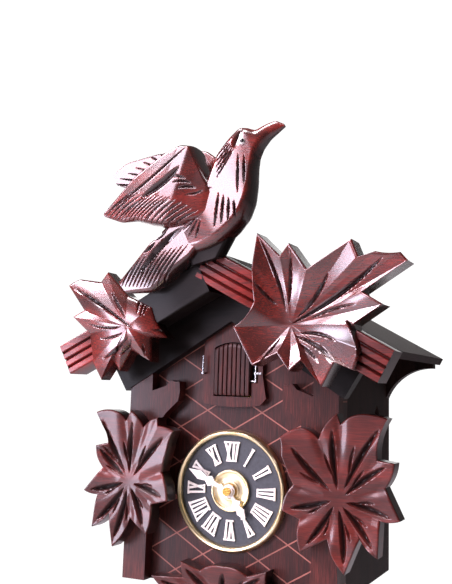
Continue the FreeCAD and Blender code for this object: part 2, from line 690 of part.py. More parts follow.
def train():
    """Time train from the sprocket to the escape wheel, and the pallets above it."""
    great = arbor(GREAT).fuse([toothed_disc(54, 0.7, depth(3), 1.5, GREAT, CENTRE),
                               shaft(SPROCKET_RADIUS, depth(5), depth(6), GREAT),
                               shaft(SPROCKET_RADIUS - 2, depth(4.5), depth(13), GREAT),
                               shaft(SPROCKET_RADIUS, depth(12), depth(13), GREAT)])
    solid("time_great_wheel", great)
    centre = shaft(S.arborRadius, INNER - END_SHAKE, BACK_PLATE + END_SHAKE, CENTRE).fuse([
        shaft(S.pivotRadius, BACK_PLATE, BACK_FACE - 0.4, CENTRE),
        toothed_disc(18, 0.7, depth(2), 3.5, CENTRE, GREAT, True),
        toothed_disc(64, 0.5, depth(7), 1.2, CENTRE, THIRD),
        shaft(1.75, MINUTE_FORWARD + S.handThick, INNER - 1, CENTRE),
        toothed_disc(10, 0.7, FRONT_PLATE + 4.5, 2.5, CENTRE, MINUTE, True)])
    solid("centre_arbor", centre)
    third = arbor(THIRD).fuse([toothed_disc(8, 0.5, depth(6), 3.2, THIRD, CENTRE, True),
                               toothed_disc(80, 0.4, depth(12), 1, THIRD, ESCAPE)])
    solid("third_wheel", third)
    escape = arbor(ESCAPE).fuse([toothed_disc(8, 0.4, depth(11), 3, ESCAPE, THIRD, True),
                                 toothed_disc(48, 0.5, depth(17), 1, ESCAPE, (0, S.anchorHeight))])
    solid("escape_wheel", escape)
    minute = toothed_disc(30, 0.7, FRONT_PLATE + 4, 1.3, MINUTE, CENTRE).fuse([
        toothed_disc(8, 0.7, FRONT_PLATE + 7.7, 3.7, MINUTE, CENTRE, True)])
    solid("minute_wheel", minute.cut(shaft(1 + S.runGap, 0, FRONT_PLATE, MINUTE)))
    hour = toothed_disc(32, 0.7, FRONT_PLATE + 7.5, 1.4, CENTRE, MINUTE).fuse(
        shaft(2.88, HOUR_FORWARD + S.handThick, FRONT_PLATE + 6.5, CENTRE))
    solid("hour_wheel", hour.cut(shaft(1.85, 20, FRONT_PLATE, CENTRE)))


VANE_REACH = 6


def strike_train():
    """Strike train: sprocket and count wheel, pin wheel and fly."""
    great = arbor(STRIKE).fuse([toothed_disc(54, 0.7, depth(15), 1.5, STRIKE, PIN),
                                shaft(SPROCKET_RADIUS, depth(5), depth(6), STRIKE),
                                shaft(SPROCKET_RADIUS - 2, depth(5), depth(13), STRIKE),
                                shaft(SPROCKET_RADIUS, depth(12), depth(13), STRIKE)])
    solid("strike_great_wheel", great)
    pins = [shaft(0.6, depth(20), depth(22.5), (PIN[0] + 11 * math.cos(a), PIN[1] + 11 * math.sin(a)))
            for a in [2 * math.pi * i / 15 for i in range(15)]]
    pin = arbor(PIN).fuse([toothed_disc(9, 0.7, depth(14), 3.5, PIN, STRIKE, True),
                           toothed_disc(60, 0.5, depth(19), 1.2, PIN, FLY)] + pins)
    solid("strike_pin_wheel", pin)
    vane = Part.makeBox(2 * VANE_REACH, 8, 0.6, at(FLY[0] - VANE_REACH, depth(4), FLY[1] - 0.3))
    solid("strike_fly", arbor(FLY).fuse([toothed_disc(8, 0.5, depth(18), 3, FLY, PIN, True), vane]))


def plates():
    """Movement plates; the back plate carries the riveted pillars and the pendulum's hook pin."""
    arbors = [GREAT, THIRD, ESCAPE, STRIKE, PIN, FLY, (0, S.anchorHeight)]
    wide = S.plateWidth
    tall = S.plateTop + S.plateDrop

    def sheet(front):
        corner = at(-wide / 2, front, -S.plateDrop)
        return Part.makeBox(wide, S.plateThick, tall, corner)

    holes = [shaft(S.pivotRadius + S.runGap, 0, BACK_FACE - 5, c) for c in arbors]
    front = sheet(FRONT_PLATE).cut(holes + [shaft(1.8, 0, INNER - 2, CENTRE)] +
                                   [shaft(1.6, 0, INNER - 2, c) for c in PILLARS])
    stud = shaft(1, FRONT_PLATE + 8, FRONT_PLATE, MINUTE)
    solid("movement_front_plate", front.fuse(stud))
    back = sheet(BACK_PLATE).cut(holes + [shaft(S.pivotRadius + S.runGap, 0, BACK_FACE - 5, CENTRE)])
    parts = [shaft(HAMMER_PIN, BACK_PLATE, HAMMER_FRONT - 5, HAMMER_PIVOT)]
    for c in PILLARS:
        parts += [shaft(2.6, INNER, BACK_PLATE, c), shaft(1.6, FRONT_PLATE + 1, INNER - 1, c),
                  shaft(2.6, -S.frontThick, FRONT_PLATE, c)]
    parts.append(shaft(S.rodRadius, BACK_PLATE, SWING_FORWARD - 3, (0, S.hookHeight)))
    parts.append(shaft(S.rodRadius + 1.2, SWING_FORWARD - 2, SWING_FORWARD - 3, (0, S.hookHeight)))
    solid("movement_back_plate", back.fuse(parts))


def pallets():
    """Pallet arbor with its anchor over the escape wheel and a crutch behind the back plate."""
    centre = (0, S.anchorHeight)
    turn = math.atan2(ESCAPE[0] - centre[0], centre[1] - ESCAPE[1])
    arms = [(0, 2.4), (7.5, 0.5), (9.6, -3), (9.3, -6.2), (8, -6.2), (7, -3.2), (0, -2.2), (-7, -3.2),
            (-8, -6.2), (-9.3, -6.2), (-9.6, -3), (-7.5, 0.5)]
    points = [at(centre[0] + x * math.cos(turn) - z * math.sin(turn), depth(16.5),
                 centre[1] + x * math.sin(turn) + z * math.cos(turn)) for x, z in arms]
    anchor = Part.Face(Part.makePolygon(points + points[:1])).extrude(Vector(0, 2, 0))
    drop = Part.makeCylinder(0.6, 22, at(0, SWING_FORWARD + 2.6, centre[1]), Vector(0, 0, -1))
    back = SWING_FORWARD + 2.6
    low = centre[1] - 22
    fork = [Part.makeBox(0.8, 6.5, 0.8, at(x, back, low - 0.4)) for x in (-2.1, 1.3)]
    cross = Part.makeBox(4.2, 0.8, 0.8, at(-2.1, back + 0.4, low - 0.4))
    solid("pallet_anchor", arbor_front(centre).fuse([anchor, tail_clear(centre), drop, cross] + fork))


def arbor_front(centre):
    """Arbor with a front pivot only; its back pivot carries on to the crutch."""
    return shaft(S.arborRadius, INNER - END_SHAKE, BACK_PLATE + END_SHAKE, centre).fuse(
        shaft(S.pivotRadius, FRONT_PLATE + 0.4, INNER, centre))


def tail_clear(centre):
    return shaft(S.pivotRadius, BACK_PLATE, SWING_FORWARD + 2, centre)


BOB_THICK = 10
BOB_LEAF = [
    (-0.27, 0.67), (-0.67, 0.87), (-0.6, 0.4), (-1, 0.33), (-0.7, 0), (-0.9, -0.4), (-0.47, -0.33),
    (-0.33, -0.63), (0, -0.5), (0.33, -0.63), (0.47, -0.33), (0.9, -0.4), (0.7, 0), (1, 0.33), (0.6, 0.4),
    (0.67, 0.87), (0.27, 0.67), (0, 1.13)]
ROD_BELOW_BOB = 34


def pendulum():
    """Wire pendulum with an eye over the hook pin, and a carved leaf that slides on it."""
    eye = shaft(2.6, SWING_FORWARD + 1, SWING_FORWARD - 1, (0, S.hookHeight)).cut(
        shaft(S.rodRadius + 0.1, SWING_FORWARD + 2, SWING_FORWARD - 2, (0, S.hookHeight)))
    top = S.hookHeight - 1.9
    foot = S.hookHeight - S.pendulumDrop - ROD_BELOW_BOB
    wire = Part.makeCylinder(S.rodRadius, top - foot, at(0, SWING_FORWARD, foot), Vector(0, 0, 1))
    nut = Part.makeCylinder(3, 2.5, at(0, SWING_FORWARD, foot - 2.5), Vector(0, 0, 1))
    solid("pendulum_rod", eye.fuse([wire, nut]))

    middle = S.hookHeight - S.pendulumDrop
    leaf = plate("bob_blank", [(x * S.bobHalf, z * S.bobHalf + middle) for x, z in BOB_LEAF],
                 SWING_FORWARD - BOB_THICK / 2, BOB_THICK)
    bore = post("bob_bore", "rodRadius + 0.08", 80, "0", SWING_FORWARD, middle - 40)
    node(cut("bob", leaf, bore), "pendulum_bob")


# ---------------------------------------------------------------- sound and cuckoo

LID_THICK = 3
CLOTH = 8
BELLOWS_DEPTH = 44


def bellows():
    """Whistle box beside each wall, with cloth bellows and a hinged lid on top."""
    inner = S.caseWidth / 2 - S.wallThick
    width = S.whistleWidth
    centre = -0.7 * S.caseDepth
    foot = -S.caseDrop + S.bottomThick
    cloths = []
    for word, side in SIDES:
        x = inner - S.fitGap - width if side > 0 else -inner + S.fitGap
        blank = box(word + "_pipe", width, 18, "whistleHeight", x, centre - 9, foot)
        air = box(word + "_air", width - 5, 13, "whistleHeight - 12", x + 2.5, centre - 6.5, foot + 10)
        mouth = box(word + "_mouth", 6, 9, 7, inner - S.fitGap - 4 if side > 0 else -inner + S.fitGap - 2,
                    centre - 4.5, 30)
        throat = box(word + "_throat", 4, 4, 8, x + width / 2 - 2, centre - 2,
                     "whistleHeight - 5 + %s" % foot)
        node(cut(word + "_pipe_box", blank, air, mouth, throat), word + "_whistle")
        top = "whistleHeight + %s" % foot
        cloths.append(box(word + "_cloth", width - 2, BELLOWS_DEPTH - 2, CLOTH, x + 1,
                          centre - BELLOWS_DEPTH / 2 + 1, top))
        lid = box(word + "_lid", width, BELLOWS_DEPTH, LID_THICK, x, centre - BELLOWS_DEPTH / 2,
                  "%s + %s" % (top, CLOTH))
        node(lid, word + "_bellows_lid")
    pair = DOC.addObject("Part::Compound", "cloths")
    pair.Links = cloths
    node(pair, "bellows_cloths")


GONG_FORWARD = -(S.caseDepth - S.rearThick - 12)
GONG_WIRE = 1.1
GONG_TURNS = 6


def gong():
    """Flat coil of half turns, brazed to a foot that stands on the bottom board."""
    edges = []
    radius = S.gongRadius
    step = 3.2
    x = -radius
    upward = 1
    for _ in range(GONG_TURNS):
        end = x + upward * 2 * radius
        middle = (x + end) / 2
        edges.append(Part.Arc(at(x, GONG_FORWARD, 0), at(middle, GONG_FORWARD, upward * radius),
                              at(end, GONG_FORWARD, 0)).toShape())
        x = end
        radius -= step / 2
        upward = -upward
    stem_end = at(-S.gongRadius, GONG_FORWARD, -S.caseDrop + S.bottomThick + 4)
    edges.insert(0, Part.makeLine(stem_end, at(-S.gongRadius, GONG_FORWARD, 0)))
    path = Part.Wire(edges)
    section = Part.Wire(Part.makeCircle(GONG_WIRE, stem_end, Vector(0, 0, 1)))
    coil = path.makePipeShell([section], True, False)
    base = Part.makeBox(16, 10, 8, at(-S.gongRadius - 8, GONG_FORWARD + 5, -S.caseDrop + S.bottomThick))
    solid("gong", base.fuse(coil))


HAMMER_REACH = 22
HAMMER_HEAD = 3
HAMMER_GAP = 1.5
HAMMER_PIN = 1.2
HAMMER_PIVOT = (S.gongRadius + GONG_WIRE + HAMMER_GAP + HAMMER_HEAD, -12)
HAMMER_FRONT = BACK_FACE - 1


def hammer():
    """Gong hammer on a pin of the back plate, its head just clear of the coil."""
    x, z = HAMMER_PIVOT
    hub = shaft(3, HAMMER_FRONT, HAMMER_FRONT - 4, HAMMER_PIVOT)
    arm = Part.makeBox(1.6, 2, HAMMER_REACH, at(x - 0.8, HAMMER_FRONT - 1, z))
    neck = shaft(1, HAMMER_FRONT - 1, GONG_FORWARD - 3, (x, z + HAMMER_REACH))
    head = shaft(HAMMER_HEAD, GONG_FORWARD + 4, GONG_FORWARD - 4, (x, z + HAMMER_REACH))
    bore = shaft(HAMMER_PIN + S.runGap, HAMMER_FRONT + 1, HAMMER_FRONT - 5, HAMMER_PIVOT)
    solid("gong_hammer", hub.fuse([arm, neck, head]).cut(bore))


CUCKOO_ROD = (-34, -12.5)
CUCKOO_REST = 30
CUCKOO_FACING = 35
NOD_HEIGHT = 62.3
NOD_PIN = 1


def cuckoo():
    """Small cuckoo on the arm of an upright rod: it swings out through the doorway and nods."""
    x, forward = CUCKOO_ROD
    foot = S.doorSill + 3
    head = S.doorSill + 32
    up = Vector(0, 0, 1)
    upright = Part.makeCylinder(1, head - foot + 8, at(x, forward, foot - 4), up)
    angle = math.radians(CUCKOO_REST)
    perch = (x + S.armReach * math.cos(angle), forward - S.armReach * math.sin(angle))
    arm = Part.makeBox(S.armReach, 1.6, 1.6, Vector(0, -0.8, 0))
    arm.rotate(Vector(), up, CUCKOO_REST)
    arm.translate(at(x, forward, foot))
    post_up = Part.makeCylinder(1, NOD_HEIGHT - foot, at(perch[0], perch[1], foot), up)
    yoke = Part.makeCylinder(2.2, 1.6, at(perch[0], perch[1], foot), up)
    facing = math.radians(CUCKOO_FACING)
    across = Vector(math.cos(facing), math.sin(facing), 0)
    pivot = at(perch[0], perch[1], NOD_HEIGHT)
    pin = Part.makeCylinder(NOD_PIN, 5, pivot - across * 2.5, across)
    solid("cuckoo_carriage", upright.fuse([arm, post_up, yoke, pin]))

    body = Part.makeSphere(1)
    body = body.transformGeometry(FreeCAD.Matrix(5.2, 0, 0, 0, 0, 11.5, 0, 0, 0, 0, 5.6, 0, 0, 0, 0, 1))
    skull = Part.makeSphere(4, Vector(0, -9, 5.5))
    beak = Part.makeCone(1.6, 0.4, 4.5, Vector(0, -12.4, 5.3), Vector(0, -1, -0.1))
    tail = Part.makeBox(5, 10, 1.6, Vector(-2.5, 8, 0.2))
    bird = body.fuse([skull, beak, tail])
    bird.rotate(Vector(), up, CUCKOO_FACING)
    bird.translate(at(perch[0], perch[1], NOD_HEIGHT + 5.3))
    saddle = Part.makeCylinder(NOD_PIN + S.runGap, 14, pivot - across * 7, across)
    solid("cuckoo_bird", bird.cut(saddle))

    blocks = []
    for z_low, bore_low in ((foot - 4.3, foot - 4), (head - 1, head - 3)):
        block = Part.makeBox(10, 4 - S.frontThick - forward, 4, at(x - 5, -S.frontThick, z_low))
        blocks.append(block.cut(Part.makeCylinder(1 + S.runGap, 8, at(x, forward, bore_low), up)))
    solid("cuckoo_brackets", Part.makeCompound(blocks))


# ---------------------------------------------------------------- build and export

side_walls()
front_boards()
rails()
stiles()
roof_boards()
rear_pieces()
bottom()
roof_carvings()
lower_leaves()
perched_bird()
dial()
hands()
door()
staples()
plates()
train()
strike_train()
pallets()
pendulum()
bellows()
gong()
hammer()
cuckoo()
DOC.recompute()

faults = [obj.Label for obj in DOC.Objects if {"Invalid", "Error"} & set(obj.State)]
faults += [obj.Label for obj in NODES if obj.Shape.isNull() or not obj.Shape.isValid()]
if faults:
    raise RuntimeError("not built: " + ", ".join(faults))
os.makedirs("parts", exist_ok=True)
for obj in NODES:
    obj.Shape.exportStep("parts/%s.step" % obj.Label)
print(len(NODES), "sub-parts written")
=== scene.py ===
"""Looks of the carved one-day cuckoo clock: stained carvings, dial, ribbed door, bird and metalwork.

Sizes are millimetres in dial coordinates: x across, z up from the centre of the dial, and forward
out of the face of the front board.  put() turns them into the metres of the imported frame.
"""
import math

import bmesh
import bpy
import numpy as np
from mathutils import Matrix, Vector


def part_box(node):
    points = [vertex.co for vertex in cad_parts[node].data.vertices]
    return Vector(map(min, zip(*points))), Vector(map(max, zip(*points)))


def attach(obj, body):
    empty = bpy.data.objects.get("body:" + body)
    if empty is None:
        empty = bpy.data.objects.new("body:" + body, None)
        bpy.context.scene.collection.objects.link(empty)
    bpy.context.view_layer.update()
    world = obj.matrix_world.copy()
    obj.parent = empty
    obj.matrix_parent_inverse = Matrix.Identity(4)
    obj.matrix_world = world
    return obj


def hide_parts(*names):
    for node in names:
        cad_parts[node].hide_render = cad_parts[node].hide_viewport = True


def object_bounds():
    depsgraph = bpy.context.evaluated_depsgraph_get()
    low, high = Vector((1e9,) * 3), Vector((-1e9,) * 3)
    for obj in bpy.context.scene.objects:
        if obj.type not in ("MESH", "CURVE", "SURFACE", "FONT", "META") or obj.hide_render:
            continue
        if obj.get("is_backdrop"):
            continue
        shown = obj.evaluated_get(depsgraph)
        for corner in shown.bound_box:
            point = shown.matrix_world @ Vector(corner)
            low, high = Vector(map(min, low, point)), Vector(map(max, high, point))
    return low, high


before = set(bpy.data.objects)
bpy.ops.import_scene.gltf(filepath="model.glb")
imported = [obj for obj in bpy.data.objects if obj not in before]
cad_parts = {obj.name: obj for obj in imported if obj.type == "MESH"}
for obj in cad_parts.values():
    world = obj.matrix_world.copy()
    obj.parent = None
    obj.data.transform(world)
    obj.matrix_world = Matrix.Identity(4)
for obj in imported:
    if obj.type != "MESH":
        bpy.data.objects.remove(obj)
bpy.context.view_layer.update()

MM = 0.001
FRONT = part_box("front_board")[0].y
BEZEL_LOW, BEZEL_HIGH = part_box("bezel_ring")
DIAL = (BEZEL_LOW.z + BEZEL_HIGH.z) / 2


# ---------------------------------------------------------------- surfaces

def put(x, forward, z):
    """Points in metres from dial coordinates in millimetres."""
    x, forward, z = np.broadcast_arrays(x, forward, z)
    return np.stack([x * MM, FRONT - forward * MM, DIAL + z * MM], -1)


def skin(name, grid, material, body="case", instead=(), cut=None, crease=35):
    """Closed skin over a stack of rings: each ring closes on itself, and a cap runs from the first
    and last ring to their mean points."""
    columns = grid.shape[1]
    caps = [grid[i].mean(0)[None, None].repeat(columns, 1) for i in (0, -1)]
    grid = np.concatenate([caps[0], grid, caps[1]])
    if cut is not None:
        cut = np.concatenate([cut[:1], cut, cut[-1:]])
    index = np.arange(grid[..., 0].size).reshape(grid.shape[:2])
    after = np.roll(index, -1, 1)
    faces = np.stack([index[:-1], index[1:], after[1:], after[:-1]], -1).reshape(-1, 4)
    mesh = bpy.data.meshes.new(name)
    mesh.from_pydata(grid.reshape(-1, 3).tolist(), [], faces.tolist())
    layer = mesh.attributes.new("cut", "FLOAT", "POINT")
    layer.data.foreach_set("value", np.zeros(index.size) if cut is None else cut.ravel())
    shell = bmesh.new()
    shell.from_mesh(mesh)
    bmesh.ops.remove_doubles(shell, verts=shell.verts, dist=2e-6)
    bmesh.ops.recalc_face_normals(shell, faces=shell.faces)
    shell.to_mesh(mesh)
    shell.free()
    mesh.materials.append(material)
    mesh.shade_smooth()
    mesh.set_sharp_from_angle(angle=math.radians(crease))
    piece = bpy.data.objects.new(name, mesh)
    bpy.context.scene.collection.objects.link(piece)
    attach(piece, body)
    if instead:
        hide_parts(*instead)
    return piece


def walk(points, pitch):
    """Closed outline walked at an even pitch; a third number on a point bows the side that starts there:
    P(t) = a + t (b - a) + 4 bow t (1 - t) n, with n the side turned a quarter to the left."""
    stretches = []
    for start, end in zip(points, points[1:] + points[:1]):
        a, b = np.array(start[:2], float), np.array(end[:2], float)
        side = b - a
        count = max(1, round(math.hypot(*side) / pitch))
        t = np.arange(count)[:, None] / count
        bow = start[2] if len(start) > 2 else 0
        stretches.append(a + side * t + np.array([-side[1], side[0]]) * 4 * bow * t * (1 - t))
    return np.concatenate(stretches)


def gouged(x, z, cuts):
    """Depth left by V gouges.  Each cut (start, end, width, depth, bow) is a leaf in plan: its half
    width and depth follow the square root of sin(pi t), and the V falls straight to its middle line."""
    total = np.zeros(np.broadcast(x, z).shape)
    for start, end, width, depth, bow in cuts:
        dx, dz = end[0] - start[0], end[1] - start[1]
        run = math.hypot(dx, dz)
        t = ((x - start[0]) * dx + (z - start[1]) * dz) / run ** 2
        off = ((z - start[1]) * dx - (x - start[0]) * dz) / run - bow * run * 4 * t * (1 - t)
        belly = np.sqrt(np.clip(np.sin(np.pi * np.clip(t, 0, 1)), 0, 1))
        half = np.maximum(width / 2 * belly, 1e-6)
        total = np.maximum(total, depth * belly * np.clip(1 - np.abs(off) / half, 0, 1))
    return total


def comb(first, last, count, width, depth, bow=0.0):
    """Row of gouges between two end ones, each given as (start, end)."""
    share = np.linspace(0, 1, count)[:, None, None]
    rows = np.array(first, float) + share * (np.array(last, float) - np.array(first, float))
    return [(tuple(start), tuple(end), width, depth, bow) for start, end in rows]


def valleys(x, z, heart, notches, reach):
    """Soft troughs from each notch in to the heart: exp(-(distance / reach) squared)."""
    nearest = np.full(x.shape, 1e3)
    for px, pz in notches:
        dx, dz = px - heart[0], pz - heart[1]
        run = math.hypot(dx, dz)
        t = np.clip(((x - heart[0]) * dx + (z - heart[1]) * dz) / run ** 2, 0.15, 1.2)
        nearest = np.minimum(nearest, np.hypot(x - heart[0] - t * dx, z - heart[1] - t * dz))
    return np.exp(-(nearest / reach) ** 2)


RIM_PITCH = 0.75
VALLEY_REACH = 3.0


def carved_leaf(name, rim, heart, back, front, cuts, notches, material, dish=2.0, roll=1.2, trough=1.2,
                **ways):
    """Carved leaf P(s, t) = heart + s (rim(t) - heart).  Its face is hollowed by dish (1 - s squared), or
    domed by as much when dish is negative, falls by roll close to the rim, sinks along the notches and is
    cut by its veins; its back is flat."""
    edge = walk(rim, RIM_PITCH)
    s = (np.linspace(0, 1, 64)[1:, None]) ** 0.8
    x = heart[0] + s * (edge[:, 0] - heart[0])
    z = heart[1] + s * (edge[:, 1] - heart[1])
    cut = gouged(x, z, cuts)
    inset = (1 - s) * np.hypot(*(edge - heart).T)
    fall = roll * (1 - np.sqrt(1 - np.clip(1 - inset / (1.5 * roll), 0, 1) ** 2))
    sunk = trough * valleys(x, z, heart, notches, VALLEY_REACH) * np.clip((s - 0.3) * 2, 0, 1)
    lift = dish * (1 - s ** 2) if dish > 0 else -dish * s ** 2
    face = np.maximum(front - fall - sunk - lift - cut, back + 2)
    rings = [put(x, face, z), put(x[-1:], face[-1:] - 0.7, z[-1:]), put(x[-1:], back, z[-1:]),
             put(x[::-9], back, z[::-9])]
    # Darkness over the stain: in the cuts partly gathered stain and partly painted shade, painted shade of
    # 0.9 on the sawn rim wall, 0.4 on the back.
    dark = [np.clip(cut / 1.8, 0, 0.88), np.full_like(x[-1:], 0.9), np.full_like(x[-1:], 0.9),
            np.full_like(x[::-9], 0.4)]
    return skin(name, np.concatenate(rings), material, cut=np.concatenate(dark), **ways)


def ruled_slab(name, one, other, material, back, front, cuts=(), round_over=2.0, rows=260, across=60,
               soften=14, shade=0.85, painted_shade=0.0, walls=(0.0, 0.0), **ways):
    """Carved slab ruled between two edges that pair point for point: P(u, v) = (1 - v) one(u) + v other(u).
    back and front give its faces along u; they close on each other within round_over of either edge as a
    quarter circle, and the V gouges cut the front.  smoke is the least darkness of its stain, laid on as
    painted shade, and walls how dark painted shade turns it down the side at each edge."""
    u = np.linspace(0, len(one) - 1, rows)
    stops = np.arange(len(one))
    window = np.hanning(2 * soften + 3)[1:-1] / np.hanning(2 * soften + 3).sum()

    def along(values):
        """The values along u, their corners eased by a moving average over 2 soften + 1 rows."""
        line = np.interp(u, stops, np.broadcast_to(values, len(one)))
        before, after = 2 * line[0] - line[soften:0:-1], 2 * line[-1] - line[-2:-soften - 2:-1]
        padded = np.concatenate([before, line, after])
        return np.convolve(padded, window, "valid")

    a = np.stack([along([p[i] for p in one]) for i in (0, 1)], -1)
    b = np.stack([along([p[i] for p in other]) for i in (0, 1)], -1)
    v = (1 - np.cos(np.linspace(0, np.pi, across))) / 2
    x = a[:, None, 0] * (1 - v) + b[:, None, 0] * v
    z = a[:, None, 1] * (1 - v) + b[:, None, 1] * v
    wide = np.hypot(*(b - a).T)[:, None]
    margin = np.minimum(v, 1 - v) * wide
    turn = np.clip(margin / np.maximum(np.minimum(round_over, wide / 2), 1e-6), 0, 1)
    full = np.sqrt(1 - (1 - turn) ** 2)
    low, high = along(back)[:, None], along(front)[:, None]
    middle, half = (low + high) / 2, (high - low) / 2
    cut = gouged(x, z, cuts)
    face = np.maximum(middle + half * full - cut, middle + 0.15 * half)
    rear = (middle - half * full)[:, ::-3]
    ring = np.concatenate([put(x, face, z), put(x[:, ::-3], rear, z[:, ::-3])], 1)
    # Painted shade down the side at each edge and a least painted shade over the front; the cuts darken by
    # gathered stain and painted shade; the rear face is set at 0.8.
    side = np.clip(1.15 - 1.5 * turn, 0, 1) * np.where(v < 0.5, walls[0], walls[1])
    dark = np.concatenate([np.clip(np.maximum(cut / 1.2, side), painted_shade, shade), np.full(rear.shape, 0.8)], 1)
    return skin(name, ring, material, cut=dark, **ways)


def turned(name, profile, material, count=180, **ways):
    """Ring turned about the dial's axis: the closed profile (radius, forward) carried round a circle."""
    angle = np.linspace(0, 2 * np.pi, count + 1)[:, None]
    radius, forward = np.array(profile, float).T
    grid = put(radius * np.sin(angle), forward * np.ones_like(angle), radius * np.cos(angle))
    return skin(name, grid[:-1].transpose(1, 0, 2)[np.r_[0:len(profile), 0]], material, **ways)


# ---------------------------------------------------------------- finishes

def linear(code):
    """sRGB hex to the linear colour that shaders take."""
    parts = [int(code[i:i + 2], 16) / 255 for i in (1, 3, 5)]
    return tuple(c / 12.92 if c <= 0.04045 else ((c + 0.055) / 1.055) ** 2.4 for c in parts) + (1.0,)


def socket(sockets, key):
    """Socket by its number, or the live one of that name."""
    if isinstance(key, int):
        return sockets[key]
    return next(s for s in sockets if s.enabled and s.name == key.replace("_", " "))


def join(tree, node, links):
    """Joins outputs to the node's sockets, given by name or number."""
    for key, output in links.items():
        tree.links.new(output, socket(node.inputs, key))


def add(tree, kind, links=None, values=None, stops=(), **settings):
    """Adds a node.  Lower-case settings are its properties and capitalised ones its input values; values
    are inputs by number, stops are a colour ramp's (position, hex), and links join outputs to it."""
    node = tree.nodes.new("ShaderNode" + kind)
    for key, value in sorted(settings.items(), key=lambda item: item[0][0].isupper()):
        if key[0].isupper():
            socket(node.inputs, key).default_value = value
        else:
            setattr(node, key, value)
    for number, value in (values or {}).items():
        node.inputs[number].default_value = value
    for place, (position, code) in enumerate(stops):
        marks = node.color_ramp.elements
        mark = marks[place] if place < len(marks) else marks.new(position)
        mark.position, mark.color = position, linear(code)
    join(tree, node, links or {})
    return node


def start(name, **values):
    """New material with its tree, shader and object coordinates; values go on the shader's sockets."""
    material = bpy.data.materials.new(name)
    material.use_nodes = True
    tree = material.node_tree
    shader = tree.nodes["Principled BSDF"]
    for key, value in values.items():
        shader.inputs[key.replace("_", " ")].default_value = value
    return material, tree, shader, add(tree, "TexCoord").outputs["Object"]


FIGURE = 84


def stained_wood(name, pale, mid, deep, along, gloss, coat, fibre=0.45, shine=0.5, nap=0.00012):
    """Stained limewood.  Fibres run along one axis, 1600 to the metre or about 0.6 mm wide, twice the real
    width so that they show; slow figure about 12 mm wide lies over them where the stain took unevenly.
    The cut attribute darkens it almost to black: in the cuts partly stain gathered there and partly painted
    shade, on sawn edges and parts in deep shadow painted shade.  nap is how far the fibres stand, in m."""
    material, tree, shader, place = start(name, Roughness=gloss, Coat_Weight=coat, Coat_Roughness=0.16,
                                          Coat_IOR=1.5, Specular_IOR_Level=shine)
    fine = add(tree, "Mapping", {"Vector": place}, Scale=[90 if axis == along else 1600 for axis in "xyz"])
    fibres = add(tree, "TexNoise", {"Vector": fine.outputs["Vector"]}, Scale=1.0, Detail=5, Roughness=0.6)
    broad = add(tree, "Mapping", {"Vector": place}, Scale=[8 if axis == along else FIGURE for axis in "xyz"])
    clouds = add(tree, "TexNoise", {"Vector": broad.outputs["Vector"]}, Scale=1.0, Detail=3, Distortion=0.6)
    blend = add(tree, "Mix", {"A": clouds.outputs["Fac"], "B": fibres.outputs["Fac"]}, Factor=fibre)
    stain = add(tree, "ValToRGB", {"Fac": blend.outputs["Result"]},
                stops=((0.34, deep), (0.5, mid), (0.68, pale)))
    # cut attribute: gathered stain plus painted shade in the cuts, painted shade on sawn edges and shadowed
    # parts
    gathered_stain_and_shade = add(tree, "Attribute", attribute_name="cut")
    darker = add(tree, "Mix", {"Factor": gathered_stain_and_shade.outputs["Fac"], "A": stain.outputs["Color"]},
                 data_type="RGBA", B=linear("#0B0605"))
    raised = add(tree, "Bump", {"Height": fibres.outputs["Fac"]}, Distance=nap, Strength=0.6)
    join(tree, shader, {"Base Color": socket(darker.outputs, "Result"), "Normal": raised.outputs["Normal"]})
    return material, tree, shader, place


# Mahogany stain under gloss lacquer on knife-carved limewood: wet highlights, red where it is thin.
CARVED, *_ = stained_wood("gloss_mahogany_stain", "#7A221A", "#481510", "#260A08", "x", 0.27, 1.0,
                          nap=0.00002)
# The same stain rubbed thin on the roof-edge bars: redder, with a softer lacquer.
BAR_RED, *_ = stained_wood("rubbed_mahogany_stain", "#8E2119", "#5C150F", "#2C0A07", "x", 0.4, 0.35,
                           shine=0.3, nap=0.00004)
# Satin mahogany stain on the leaves lower down, deep red-brown.
LOW_LEAF, *_ = stained_wood("satin_mahogany_stain", "#6A231C", "#431510", "#240A08", "x", 0.38, 0.4,
                            shine=0.3, nap=0.00004)
# The same stain, matt and nearly black, on the sawn sides and roof.
CASE, *_ = stained_wood("satin_walnut_stain", "#2A1B17", "#1C100D", "#100806", "z", 0.55, 0.0, shine=0.15)
# Planed uprights: finer vertical grain, dark reddish brown.
STILE, *_ = stained_wood("planed_mahogany_stain", "#5E2620", "#3A1510", "#1C0A08", "z", 0.4, 0.12, fibre=0.7,
                         shine=0.25)
# Dark walnut stain taken almost to black as painted shade, for the rails under the roof and parts in deep
# shadow.
RAIL, *_ = stained_wood("dark_walnut_stain_and_painted_shade", "#150E0D", "#0C0807", "#060404", "x", 0.5, 0.05, fibre=0.6,
                        shine=0.15)


